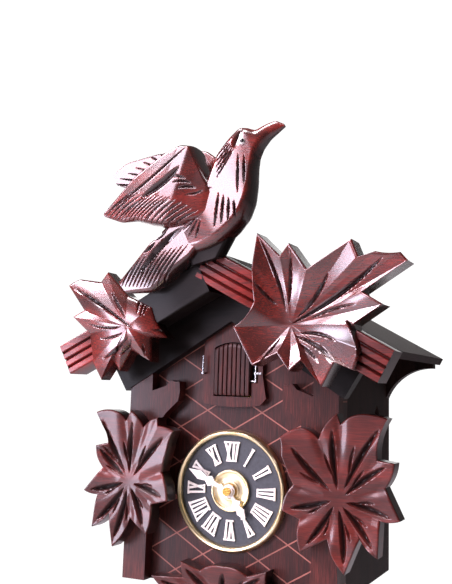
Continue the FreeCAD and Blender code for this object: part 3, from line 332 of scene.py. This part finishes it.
def scored_board():
    """Front board: vertical grain, and a lattice of scored lines 0.8 mm wide that show the pale wood.
    Each family of lines is where z / (2 rise) +- x / (2 half) passes a whole number."""
    material, tree, shader, place = stained_wood("scored_mahogany_board", "#4E1E1A", "#30110D", "#1A0907",
                                                 "z", 0.42, 0.08, fibre=0.7, shine=0.25)
    axes = add(tree, "SeparateXYZ", {"Vector": place})
    half, rise, centre, line_width = 0.0177, 0.0104, DIAL + 0.0351, 0.021
    height = add(tree, "Math", {0: axes.outputs["Z"]}, {1: centre}, operation="SUBTRACT")
    upright = add(tree, "Math", {0: height.outputs[0]}, {1: 2 * rise}, operation="DIVIDE")
    across = add(tree, "Math", {0: axes.outputs["X"]}, {1: 2 * half}, operation="DIVIDE")
    lines = []
    for way in ("ADD", "SUBTRACT"):
        phase = add(tree, "Math", {0: upright.outputs[0], 1: across.outputs[0]}, operation=way)
        near = add(tree, "Math", {0: phase.outputs[0]}, {1: 0.5}, operation="PINGPONG")
        lines.append(add(tree, "Math", {0: near.outputs[0]}, {1: line_width}, operation="LESS_THAN"))
    scored = add(tree, "Math", {0: lines[0].outputs[0], 1: lines[1].outputs[0]}, operation="MAXIMUM")
    stain = shader.inputs["Base Color"].links[0].from_socket
    pale = add(tree, "Mix", {"Factor": scored.outputs[0], "A": stain}, data_type="RGBA",
               B=linear("#8E5A50"))
    sunk = add(tree, "Math", {1: scored.outputs[0]}, {0: 1.0}, operation="SUBTRACT")
    grain = shader.inputs["Normal"].links[0].from_socket
    groove = add(tree, "Bump", {"Height": sunk.outputs[0], "Normal": grain}, Distance=0.0004, Strength=0.7)
    join(tree, shader, {"Base Color": socket(pale.outputs, "Result"), "Normal": groove.outputs["Normal"]})
    return material


BOARD = scored_board()


def plain(name, pale, deep, scale, rough, bump, metallic=0.0, coat=0.0, stretch=(1, 1, 1)):
    """Finish with a two-tone mottle of the given scale (per metre), which also varies its gloss and stands
    bump metres high."""
    material, tree, shader, place = start(name, Metallic=metallic, Coat_Weight=coat)
    spread = add(tree, "Mapping", {"Vector": place}, Scale=stretch)
    mottle = add(tree, "TexNoise", {"Vector": spread.outputs["Vector"]}, Scale=scale, Detail=6)
    tones = add(tree, "ValToRGB", {"Fac": mottle.outputs["Fac"]}, stops=((0.35, deep), (0.65, pale)))
    gloss = add(tree, "MapRange", {"Value": mottle.outputs["Fac"]}, To_Min=rough[0], To_Max=rough[1])
    raised = add(tree, "Bump", {"Height": mottle.outputs["Fac"]}, Distance=bump, Strength=1.0)
    join(tree, shader, {"Base Color": tones.outputs["Color"], "Roughness": gloss.outputs["Result"],
                        "Normal": raised.outputs["Normal"]})
    return material


# Unstained spruce inside the case: pale, matt, straight fibres.
SPRUCE = plain("raw_spruce", "#D9B98A", "#B58C58", 60, (0.55, 0.75), 0.0002, stretch=(6, 6, 0.6))
# Thin brown fibreboard: short random fibres, dull.
FIBREBOARD = plain("fibreboard", "#8A6A48", "#6B4E33", 900, (0.7, 0.9), 0.0002)
# Slate-black dial disc, printed card under matt lacquer.
DIAL_CARD = plain("slate_black_dial", "#32383F", "#262B31", 500, (0.45, 0.6), 0.00004)
# Injection-moulded ivory-white plastic: soft gloss, slight flow mottle.
IVORY = plain("ivory_plastic", "#F4F2EC", "#E4E1D8", 350, (0.28, 0.42), 0.00004, coat=0.1)
# Rolled brass sheet with fine lines from the rollers.
BRASS = plain("rolled_brass", "#E2BE6C", "#B98B3C", 300, (0.18, 0.34), 0.00003, 1.0, stretch=(1, 1, 12))
# Pressed brass with a pale gilt lacquer, slightly satin.
GILT = plain("gilt_lacquer", "#EFE3BE", "#DCCB98", 160, (0.26, 0.34), 0.000004, 1.0)
# Bright drawn steel wire.
STEEL = plain("drawn_steel", "#D8DADC", "#9EA2A6", 700, (0.18, 0.34), 0.00003, 1.0)
# Painted carved cuckoo: blue-grey back over pale wood, hand-brushed.
PLUMAGE = plain("painted_plumage", "#8FA3B5", "#5E7387", 500, (0.4, 0.6), 0.0001)
# Enamelled glass bead.
ENAMEL = plain("white_enamel", "#F5F5F2", "#E6E6E0", 900, (0.08, 0.14), 0.00001, coat=0.5)
# Black enamel pupil.
PUPIL = plain("black_enamel", "#141414", "#070707", 900, (0.08, 0.14), 0.00001, coat=0.5)


def bellows_cloth():
    """Glazed cotton of the bellows: two crossed waves about 1 mm apart, twice the real thread spacing so
    that the weave shows."""
    material, tree, shader, place = start("glazed_cotton", Roughness=0.7, Sheen_Weight=0.3)
    weft = add(tree, "TexWave", {"Vector": place}, Scale=320.0, bands_direction="Z")
    warp = add(tree, "TexWave", {"Vector": place}, Scale=320.0, bands_direction="X")
    weave = add(tree, "Mix", {"A": weft.outputs["Fac"], "B": warp.outputs["Fac"]}, Factor=0.5)
    tones = add(tree, "ValToRGB", {"Fac": weave.outputs["Result"]},
                stops=((0.2, "#B9B1A0"), (0.8, "#E4DCCB")))
    raised = add(tree, "Bump", {"Height": weave.outputs["Result"]}, Distance=0.0002, Strength=1.0)
    join(tree, shader, {"Base Color": tones.outputs["Color"], "Normal": raised.outputs["Normal"]})
    return material


CLOTH = bellows_cloth()

FINISH_OF = {
    "left_side_wall": CASE, "right_side_wall": CASE, "front_board": BOARD, "door_surround": STILE,
    "gable_rails": RAIL, "left_frame_stile": STILE, "right_frame_stile": STILE, "left_roof_board": CASE,
    "right_roof_board": CASE, "rear_frame": CASE, "back_panel": FIBREBOARD, "hanger_plate": STEEL,
    "bottom_board": CASE, "bezel_ring": GILT, "dial_plate": DIAL_CARD, "dial_centre": BRASS,
    "dial_numerals": IVORY, "wire_staples": STEEL, "movement_front_plate": BRASS,
    "movement_back_plate": BRASS, "left_whistle": SPRUCE, "right_whistle": SPRUCE, "bellows_cloths": CLOTH,
    "gong": STEEL, "cuckoo_brackets": SPRUCE, "centre_arbor": BRASS, "minute_hand": IVORY,
    "hand_nut": BRASS, "hour_wheel": BRASS, "hour_hand": IVORY, "minute_wheel": BRASS,
    "time_great_wheel": BRASS, "third_wheel": BRASS, "escape_wheel": BRASS, "pallet_anchor": STEEL,
    "pendulum_rod": STEEL, "strike_great_wheel": BRASS, "strike_pin_wheel": BRASS, "strike_fly": BRASS,
    "gong_hammer": STEEL, "left_bellows_lid": SPRUCE, "right_bellows_lid": SPRUCE,
    "cuckoo_carriage": STEEL, "cuckoo_bird": PLUMAGE, "door_hinge_wire": STEEL, "door_latch_wire": STEEL,
    "turn_button_top": SPRUCE, "turn_button_foot": SPRUCE}
for label, finish in FINISH_OF.items():
    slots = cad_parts[label].data.materials
    slots.clear()
    slots.append(finish)


# ---------------------------------------------------------------- roof carvings

ROOF_LEAN = math.radians(28)
BAR_WIDE = 19
BAR_FOOT = 115.3


def roof_bar(name, side, inner, reach, seat, depth, finish, painted_shade=0.0, vee=1.8, **ways):
    """Roof-edge bar between square ends at inner and reach, P(u, v) straight from end to end, with three
    V grooves along it, vee deep.  Its face is scooped by depth x exp(-(distance / 26) squared) where the
    leaf is seated, and smoke is painted shade laid over its stain."""
    lean = np.array([math.sin(ROOF_LEAN), math.cos(ROOF_LEAN)]) * BAR_WIDE
    u = np.concatenate([[0], np.linspace(0.001, 0.999, 220), [1]])[:, None]
    v = np.linspace(0, 1, 110)
    away = inner + (reach - inner) * u
    x = side * (away + lean[0] * (1 - v))
    z = BAR_FOOT - math.tan(ROOF_LEAN) * away + lean[1] * (1 - v)
    groove = sum(vee * np.clip(1 - np.abs(v - share) / 0.055, 0, 1) for share in (0.27, 0.52, 0.77))
    round_off = 0.9 * (1 - np.sqrt(1 - np.clip(1 - np.minimum(v, 1 - v) * BAR_WIDE, 0, 1) ** 2))
    scoop = depth * np.exp(-((x - seat[0]) ** 2 + (z - seat[1]) ** 2) / 26 ** 2)
    face = 33.5 - groove - round_off - scoop
    ring = np.concatenate([put(x, face, z), put(x[:, ::-12], 15, z[:, ::-12])], 1)
    # Darker in the grooves by gathered stain and painted shade, on the square end faces by painted shade, and
    # all over by the given amount of painted shade.
    dark = np.clip(groove / 2.5 + painted_shade + np.where((u == 0) | (u == 1), 0.95, 0), 0, 0.95)
    skin(name, ring, finish, cut=np.concatenate([dark, np.full_like(x[:, ::-12], 0.85)], 1), **ways)


roof_bar("right_roof_bar", 1, -13, 95.5, (46, 95), 9, BAR_RED, instead=("right_roof_carving",))
roof_bar("left_roof_bar", -1, 45, 95.5, (-54, 93), 3, BAR_RED, instead=("left_roof_carving",))
# The inner run of the left bar lies in the bird's shadow: its near-black finish and 0.3 darkening are painted
# shadow; it has no grooves.
roof_bar("left_ridge_bar", -1, 3, 45, (-54, 93), 3, RAIL, 0.3, 0.0)

RIGHT_RIM = [
    (26, 107.5, 0.1), (14, 93), (26, 72), (40.5, 78.8), (48, 69.3), (54.5, 75.3), (66.5, 61.8),
    (73.5, 74.5), (84, 70.5), (87.5, 82, 0.1), (84, 94.8), (99.5, 105.2), (88, 112), (112.5, 128),
    (108.5, 132.5, 0.05), (95, 133.4), (86, 130.8), (82, 140.5), (57, 125), (46.2, 139.6), (41, 132.8),
    (27, 146), (24, 126)]
carved_leaf(
    "right_upper_leaf", RIGHT_RIM, (46, 95), 22, 38,
    [((29, 143), (43, 103), 2.6, 2.0, 0.03), ((47.5, 136), (45, 105), 2.2, 1.6, 0),
     ((68, 123), (50, 99), 3.0, 2.4, 0.06), ((99, 130), (47, 95.5), 3.4, 3.0, 0.03),
     ((84, 105.5), (58, 98), 2, 1.6, -0.05), ((52, 90), (73, 86), 2.4, 2, 0.08),
     ((49, 88.5), (74, 73.5), 3, 2.4, 0.07), ((51, 84.5), (64, 74.5), 2.2, 1.8, 0.03),
     ((40.5, 87.5), (31, 74), 2, 1.6, 0.02), ((25.5, 119), (38.5, 105.5), 2.4, 2, -0.05),
     ((79, 97), (85, 67), 5, 7, 0.18)],
    [(26, 107.5), (40.5, 78.8), (54.5, 75.3), (88, 112), (57, 125), (41, 132.8), (24, 126)],
    CARVED, dish=7.0, trough=0.5)

LEFT_RIM = [
    (-41.5, 105, -0.08), (-30, 87), (-41, 87), (-40.5, 73), (-54, 79.5), (-61.5, 67), (-66, 73),
    (-74, 61.5), (-80.5, 71.5), (-84, 89), (-97, 99.5), (-89, 103.5), (-101.5, 119, 0.06), (-93, 122.8),
    (-78, 120.8), (-73.3, 126.8), (-58, 112)]
carved_leaf(
    "left_upper_leaf", LEFT_RIM, (-54, 93), 22, 38,
    [((-97, 117.5), (-50, 91.5), 2.6, 2.4, 0.02), ((-67.5, 114), (-55.5, 97.5), 2.2, 1.8, 0),
     ((-84, 95), (-58, 93), 2.2, 1.8, -0.05), ((-74, 86), (-57, 89.5), 2, 1.6, -0.06),
     ((-71.5, 74), (-54, 87), 2.4, 2, -0.06), ((-60, 76), (-51.5, 86), 2, 1.6, -0.05),
     ((-44.5, 83), (-43.5, 76), 1.6, 1.2, 0), ((-50, 113), (-49, 101), 1.4, 1.4, 0),
     ((-47, 113), (-46.5, 99), 1.4, 1.4, 0), ((-44, 111), (-45, 100), 1.4, 1.4, 0),
     ((-39, 91.5), (-31, 88.5), 2, 1.8, 0.1)],
    [(-41, 87)], CARVED, dish=-5.5, trough=0.0)


# ---------------------------------------------------------------- lower leaves

def lobed_leaf(name, rim, heart, back, front, tips, notches, instead, body="case", width=4.2, **ways):
    """Leaf whose scooped veins run from near its heart to each tip, with one finer vein beside each."""
    cuts = []
    for tip in tips:
        run = np.array(tip, float) - heart
        aside = np.array([-run[1], run[0]])
        cuts.append((tuple(heart + run * 0.15), tuple(heart + run * 0.9), width, 2.6, 0.03))
        cuts.append((tuple(heart + run * 0.25), tuple(heart + run * 0.6 + aside * 0.14), 2.0, 1.4, 0.05))
    carved_leaf(name, rim, heart, back, front, cuts, notches, LOW_LEAF, instead=instead, body=body, **ways)


RIGHT_LOW_RIM = [
    (37.1, 23.5, -0.04), (36.3, 33.3, 0.05), (47, 39, 0.12), (58.5, 33.4, 0.08), (69.1, 47.5), (71, 42, 0.1),
    (84, 47.8, 0.04), (97.3, 45.9, -0.08), (91.4, 24), (101, 23, 0.08), (96, 10), (104, -6, 0.08), (93, -7),
    (92, -26, 0.08), (82, -17), (74, -36, 0.08), (64, -19), (49, -27, 0.08), (48, -10), (38, -6, 0.08),
    (44, 8)]
lobed_leaf("right_lower_leaf", RIGHT_LOW_RIM, (70, 2), 8, 19,
           [(40, 31), (66, 43), (95, 44.5), (99, 23), (102, -6), (91, -24), (74, -34), (51, -25), (40, -5)],
           [(58.5, 33.4), (71, 42), (91.4, 24), (96, 10), (93, -7), (82, -17), (64, -19), (48, -10), (44, 8)],
           ("right_side_leaf",), dish=1.5, roll=0.8)

LEFT_LOW_RIM = [
    (-34.1, 23.8, 0.05), (-30.9, 33.2, -0.05), (-41, 35.8), (-41.5, 40.5, -0.1), (-51.6, 34.5, -0.1),
    (-60.5, 43.8), (-64, 38, -0.1), (-72, 43.5, -0.08), (-84.5, 42, 0.05), (-76, 24), (-84, 22, -0.08),
    (-79, 9), (-91, -5, -0.08), (-82, -7), (-84, -26, -0.08), (-73, -17), (-69, -36, -0.08), (-58, -19),
    (-46, -27, -0.08), (-44, -10), (-33, -7, -0.08), (-38, 9)]
lobed_leaf("left_lower_leaf", LEFT_LOW_RIM, (-60, 2), 8, 19,
           [(-35, 32), (-59, 41), (-82, 41), (-83, 22), (-89, -5), (-83, -24), (-69, -34), (-48, -25),
            (-35, -6)],
           [(-51.6, 34.5), (-64, 38), (-76, 24), (-79, 9), (-82, -7), (-73, -17), (-58, -19), (-44, -10),
            (-38, 9)], ("left_side_leaf",), dish=1.5, roll=0.8)

FOOT_RIM = [
    (0, -41, 0.1), (15, -45), (27, -41), (26, -50), (46, -51), (36, -60), (44, -69), (27, -69), (21, -80),
    (11, -76), (0, -96), (-11, -76), (-21, -80), (-27, -69), (-44, -69), (-36, -60), (-46, -51),
    (-26, -50), (-27, -41), (-15, -45, 0.1)]
lobed_leaf("foot_leaf", FOOT_RIM, (0, -62), 0, 11,
           [(26, -43), (44, -52), (42, -68), (20, -78), (0, -94), (-20, -78), (-42, -68), (-44, -52),
            (-26, -43), (0, -43)],
           [(15, -45), (26, -50), (36, -60), (27, -69), (11, -76), (-11, -76), (-27, -69), (-36, -60),
            (-26, -50), (-15, -45)], ("bottom_leaf",), dish=1.5, roll=0.8)

ROD_LOW, ROD_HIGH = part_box("pendulum_bob")
BOB_FRONT, BOB_BACK = [(FRONT - y) / MM for y in (ROD_LOW.y, ROD_HIGH.y)]
BOB_HALF = ROD_HIGH.x / MM
BOB_Z = (ROD_HIGH.z - DIAL) / MM - 1.13 * BOB_HALF
BOB_SHAPE = [
    (-0.27, 0.67), (-0.67, 0.87), (-0.6, 0.4), (-1, 0.33), (-0.7, 0), (-0.9, -0.4), (-0.47, -0.33),
    (-0.33, -0.63), (0, -0.5), (0.33, -0.63), (0.47, -0.33), (0.9, -0.4), (0.7, 0), (1, 0.33), (0.6, 0.4),
    (0.67, 0.87), (0.27, 0.67), (0, 1.13)]
BOB_RIM = [(x * BOB_HALF, BOB_Z + z * BOB_HALF) for x, z in BOB_SHAPE]
lobed_leaf("pendulum_leaf", BOB_RIM, (0, BOB_Z), BOB_BACK, BOB_FRONT,
           BOB_RIM[1::2], BOB_RIM[0::2], ("pendulum_bob",), body="pendulum_bob", dish=1.0, roll=0.8,
           trough=0.8)


# ---------------------------------------------------------------- perched bird

BACK_EDGE = [(-34, 150), (-26, 157), (-17, 164), (-10, 170.5), (-3.5, 179), (-1, 187), (1.5, 194), (8, 202.5),
             (14.5, 208.7), (19, 208.3), (24, 206.5), (30, 209.5), (36, 211.3), (41, 209)]
BELLY_EDGE = [(-24, 135.5), (-14, 134.5), (-4, 136), (6, 140), (14, 146.5), (20.5, 154), (24, 163),
              (25.2, 173), (25.3, 183), (26, 189), (28.5, 194.5), (33, 200), (38, 203.8), (42, 207)]
HALF_THICK = [6, 8, 9.5, 10.5, 10.5, 10, 9.5, 8.5, 7.5, 7, 6, 4, 2.5, 1.2]
NECK_CUTS = (comb(((10, 200), (2, 193)), ((14, 195), (4.5, 178)), 6, 1.3, 1.5) +
             comb(((16.5, 191.5), (17.5, 168)), ((20, 191), (21, 173)), 2, 1.6, 2.0) +
             comb(((6, 169), (4, 149)), ((15.5, 164), (16.5, 154)), 4, 1.8, 2.2) +
             comb(((-24, 182), (-16, 180.5)), ((-13, 169.5), (1.5, 172)), 5, 1.4, 1.6) +
             comb(((-12, 155.5), (-27, 150)), ((-5, 154), (-8, 143)), 5, 1.4, 1.6) +
             [((13.2, 194.5), (17.2, 207), 6, 1.3, -0.03), ((-24, 158.5), (-12, 162), 1.8, 1.8, 0.1),
              ((-20, 165), (-7, 163.5), 1.8, 1.8, -0.06)])
# The belly-side wall of the body is darkened as painted shade.
ruled_slab("carved_bird", BACK_EDGE, BELLY_EDGE, CARVED, [34.5 - h for h in HALF_THICK],
           [34.5 + h for h in HALF_THICK], NECK_CUTS, round_over=6, rows=420, across=120,
           walls=(0, 0.85), instead=("perched_bird_body",))
# The legs, widened into a block that fills the gap under body and tail, are taken near black: painted shade
# over real legs.
ruled_slab("bird_legs", [(-18, 146), (-14, 128)], [(14, 149), (5, 133)], RAIL, 28, 39, round_over=3, rows=60,
           across=50, painted_shade=0.93, shade=0.95, soften=3)
# The tail's lower side wall is darkened as painted shade.
ruled_slab("bird_tail", [(-14, 164), (-24, 155), (-31.5, 147.5), (-38.5, 142.7), (-46, 134.6), (-60, 119.5)],
           [(-3, 143), (-12, 131.5), (-20, 125.5), (-27, 119), (-36, 112.8), (-53.5, 112.3)], CARVED,
           [22, 24, 27, 30, 33, 38.4], [42, 43.5, 44.5, 45, 44, 41.5],
           comb(((-50, 132), (-60, 116.5)), ((-13, 140), (-30, 115)), 12, 1.5, 1.3, -0.03) +
           [((-17, 150), (-43, 124), 5, 4, -0.05), ((-27, 149), (-36, 143), 2.6, 2.4, 0.1),
            ((-34, 142), (-43, 136), 2.6, 2.4, 0.1)], round_over=3, rows=300, across=130, walls=(0, 0.9))
WING_CUTS = (comb(((-46, 173.5), (-69, 158)), ((-38, 168), (-60, 155)), 4, 1.5, 1.3, -0.05) +
             comb(((-36, 170), (-57, 154.5)), ((-22, 166), (-40, 152.5)), 7, 1.2, 1.1, -0.05) +
             comb(((-22, 167), (-38, 152.5)), ((-6, 159), (-22, 149.5)), 6, 1.5, 1.3, -0.05) +
             [((-17, 184.5), (-42, 168), 5.5, 3.2, 0.05), ((-13, 195.7), (-64, 162.5), 2.0, 1.6, 0.02),
              ((-24, 179), (-13, 177.5), 2.0, 1.6, 0.08), ((-21, 175.5), (-10, 175), 1.8, 1.5, 0.08),
              ((-18, 172), (-7, 172), 1.8, 1.5, 0.08), ((-13, 168.5), (-3, 171), 1.6, 1.4, -0.08)])
# The near wing's side walls are darkened as painted shade, most along its upper edge.
ruled_slab("near_wing", [(2, 171), (-0.5, 175.2), (-6, 186.5), (-11, 198), (-17, 198.7), (-26, 195.2),
                         (-48, 182.2), (-70, 160.5)],
           [(0, 158), (-8, 153.5), (-17, 151), (-26, 150), (-37, 151.8), (-46, 154.5), (-56, 154),
            (-69, 158.5)], CARVED, [32, 28, 25, 27, 32, 39, 44, 45],
           [44.5, 46, 48, 50.5, 51, 50, 48, 45.5], WING_CUTS, round_over=3, rows=380, across=140,
           walls=(0.9, 0.3), instead=("perched_bird_near_wing",))
ruled_slab("far_wing", [(-2, 182), (-7, 196), (-13.5, 200.5), (-26, 203), (-47, 201.5), (-68, 197),
                        (-76.5, 190)],
           [(0, 172), (-6, 168), (-16, 168), (-30, 168), (-45, 170), (-58, 176.5), (-73, 182)], CARVED,
           [19, 18.5, 18, 18, 18, 18, 19], [27, 25, 24, 24, 24.5, 26, 28],
           comb(((-76, 183), (-58, 181)), ((-46, 203), (-41, 198)), 7, 1.4, 1.4, 0.0), round_over=1.5,
           rows=300, across=110, instead=("perched_bird_far_wing",))


def bead(name, x, z, forward, way, radius, material, **ways):
    """Glass bead: a shallow dome, radius sin(a) round its axis and radius cos(a) out of the wood."""
    a = np.linspace(0.02, np.pi / 2, 12)[:, None]
    turn = np.linspace(0, 2 * np.pi, 32, endpoint=False)
    dome = put(x + radius * np.sin(a) * np.cos(turn), forward + way * radius * 0.6 * np.cos(a),
               z + radius * np.sin(a) * np.sin(turn))
    return skin(name, dome, material, **ways)


bead("near_eye", 18.2, 198.9, 42.2, 1, 2.1, ENAMEL, instead=("perched_bird_eyes",))
bead("near_pupil", 18.8, 198.9, 43.2, 1, 1.3, PUPIL)
bead("far_eye", 18.2, 198.9, 26.8, -1, 2.1, ENAMEL)
bead("far_pupil", 18.8, 198.9, 25.8, -1, 1.3, PUPIL)


# ---------------------------------------------------------------- door, bezel and dial

def ribbed_door():
    """Door of vertical ribs: face(x) = front - depth of a V at each eighth of the width, under an arch."""
    low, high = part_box("door")
    left, right = low.x / MM, high.x / MM
    foot, crown = (low.z - DIAL) / MM, (high.z - DIAL) / MM
    back, front = (FRONT - high.y) / MM, (FRONT - low.y) / MM
    x = np.linspace(left, right, 200)
    arch = crown - 3.5 * ((x - (left + right) / 2) / ((right - left) / 2)) ** 2
    phase = (x - left) / (right - left) * 8
    groove = 0.9 * np.clip(1 - np.abs(phase - np.round(phase)) / 0.16, 0, 1)
    rows = np.linspace(0, 1, 24)[:, None]
    z = foot + rows * (arch - foot)
    soft = 0.6 * (np.abs(rows - 0.5) * 2) ** 30
    face = front - groove - soft
    ring = np.concatenate([put(x, face, z), put(x[::-1], back, z[:, ::-1])], 1)
    # The grooves are darkened, partly by stain gathered there and partly as painted shade; the back face is
    # set at 0.4.
    dark = np.concatenate([np.broadcast_to(groove * 0.8, z.shape), np.full(z.shape, 0.4)], 1)
    skin("ribbed_door", ring, STILE, body="door", instead=("door",), cut=dark)


ribbed_door()

turned("pressed_bezel", [(35.0, 0.1), (35.0, 2.6), (34.6, 3.8), (34.0, 4.6), (33.3, 5.0), (32.6, 4.8),
                         (32.0, 4.1), (31.7, 3.0), (31.5, 1.6), (31.5, 0.1)], GILT, instead=("bezel_ring",))
turned("stepped_centre", [(12, 1.5), (12, 3.0), (11.7, 3.45), (11.2, 3.5), (10.6, 3.3), (10.1, 2.7),
                          (9.0, 2.45), (7.0, 2.5), (5.9, 2.7), (5.5, 3.2), (5.1, 3.3), (4.4, 3.2), (3.4, 2.9),
                          (3.3, 1.5)],
       GILT, instead=("dial_centre",))


# ---------------------------------------------------------------- floor, light and camera

def studio():
    """Pale floor below the pendulum, soft lights from the upper left, above, the front and behind, and the
    camera.  Floor and backdrop look white, but light the clock only dimly, so its dark wood stays dark."""
    floor_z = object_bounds()[0].z - 0.02
    corners = [(-4, -4, floor_z), (4, -4, floor_z), (4, 4, floor_z), (-4, 4, floor_z)]
    mesh = bpy.data.meshes.new("floor")
    mesh.from_pydata(corners, [], [(0, 1, 2, 3)])
    floor = bpy.data.objects.new("floor", mesh)
    bpy.context.scene.collection.objects.link(floor)
    paint, paint_tree, shader, _ = start("pale_floor", Roughness=0.9)
    shader.inputs["Base Color"].default_value = linear("#B8B8B8")
    glow = add(paint_tree, "Emission", Color=linear("#FFFFFF"), Strength=1.1)
    seen = add(paint_tree, "MixShader", {0: add(paint_tree, "LightPath").outputs["Is Camera Ray"],
                                         1: shader.outputs[0], 2: glow.outputs[0]})
    paint_tree.links.new(seen.outputs[0], paint_tree.nodes["Material Output"].inputs["Surface"])
    mesh.materials.append(paint)
    floor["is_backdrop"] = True

    world = bpy.data.worlds.new("studio")
    bpy.context.scene.world = world
    world.use_nodes = True
    tree = world.node_tree
    soft = tree.nodes["Background"]
    soft.inputs["Color"].default_value = linear("#FFF4F6")
    soft.inputs["Strength"].default_value = 0.13
    backdrop = add(tree, "Background", Color=linear("#FFFFFF"), Strength=1.1)
    either = add(tree, "MixShader", {0: add(tree, "LightPath").outputs["Is Camera Ray"],
                                     1: soft.outputs[0], 2: backdrop.outputs[0]})
    tree.links.new(either.outputs[0], tree.nodes["World Output"].inputs["Surface"])

    bpy.context.scene.view_settings.view_transform = "Standard"
    aim = Vector((0, FRONT, DIAL + 0.03))
    for name, place, size, power, colour in (
            ("key", (-0.9, -0.65, 0.85), 0.5, 38, (1.0, 0.80, 0.92)),
            ("top", (-0.2, -0.25, 1.1), 0.4, 16, (1.0, 0.9, 0.95)),
            ("sheen", (-0.33, -0.87, 0.45), 0.35, 7, (1.0, 0.80, 0.94)),
            ("window", (-0.66, -0.74, -0.04), 0.3, 6, (0.86, 0.82, 1.0)),
            ("back", (-0.5, 1.1, 0.0), 1.2, 7, (1.0, 1.0, 1.0))):
        light = bpy.data.lights.new(name, "AREA")
        light.size, light.energy, light.color = size, power, colour
        lamp = bpy.data.objects.new(name, light)
        lamp.location = aim + Vector(place)
        lamp.rotation_euler = (aim - lamp.location).to_track_quat("-Z", "Y").to_euler()
        bpy.context.scene.collection.objects.link(lamp)

    view = bpy.data.cameras.new("camera")
    view.lens, view.shift_y = 53.87, -0.0873
    camera = bpy.data.objects.new("camera", view)
    right = Vector((0.90905, 0.41550, 0.03131))
    up = Vector((0.03852, -0.15862, 0.98659))
    ahead = Vector((-0.41489, 0.89566, 0.16020))
    turn = Matrix((right, up, -ahead)).transposed().to_4x4()
    camera.matrix_world = Matrix.Translation((0.2152, -0.5887, -0.0379)) @ turn
    bpy.context.scene.collection.objects.link(camera)
    bpy.context.scene.camera = camera


studio()
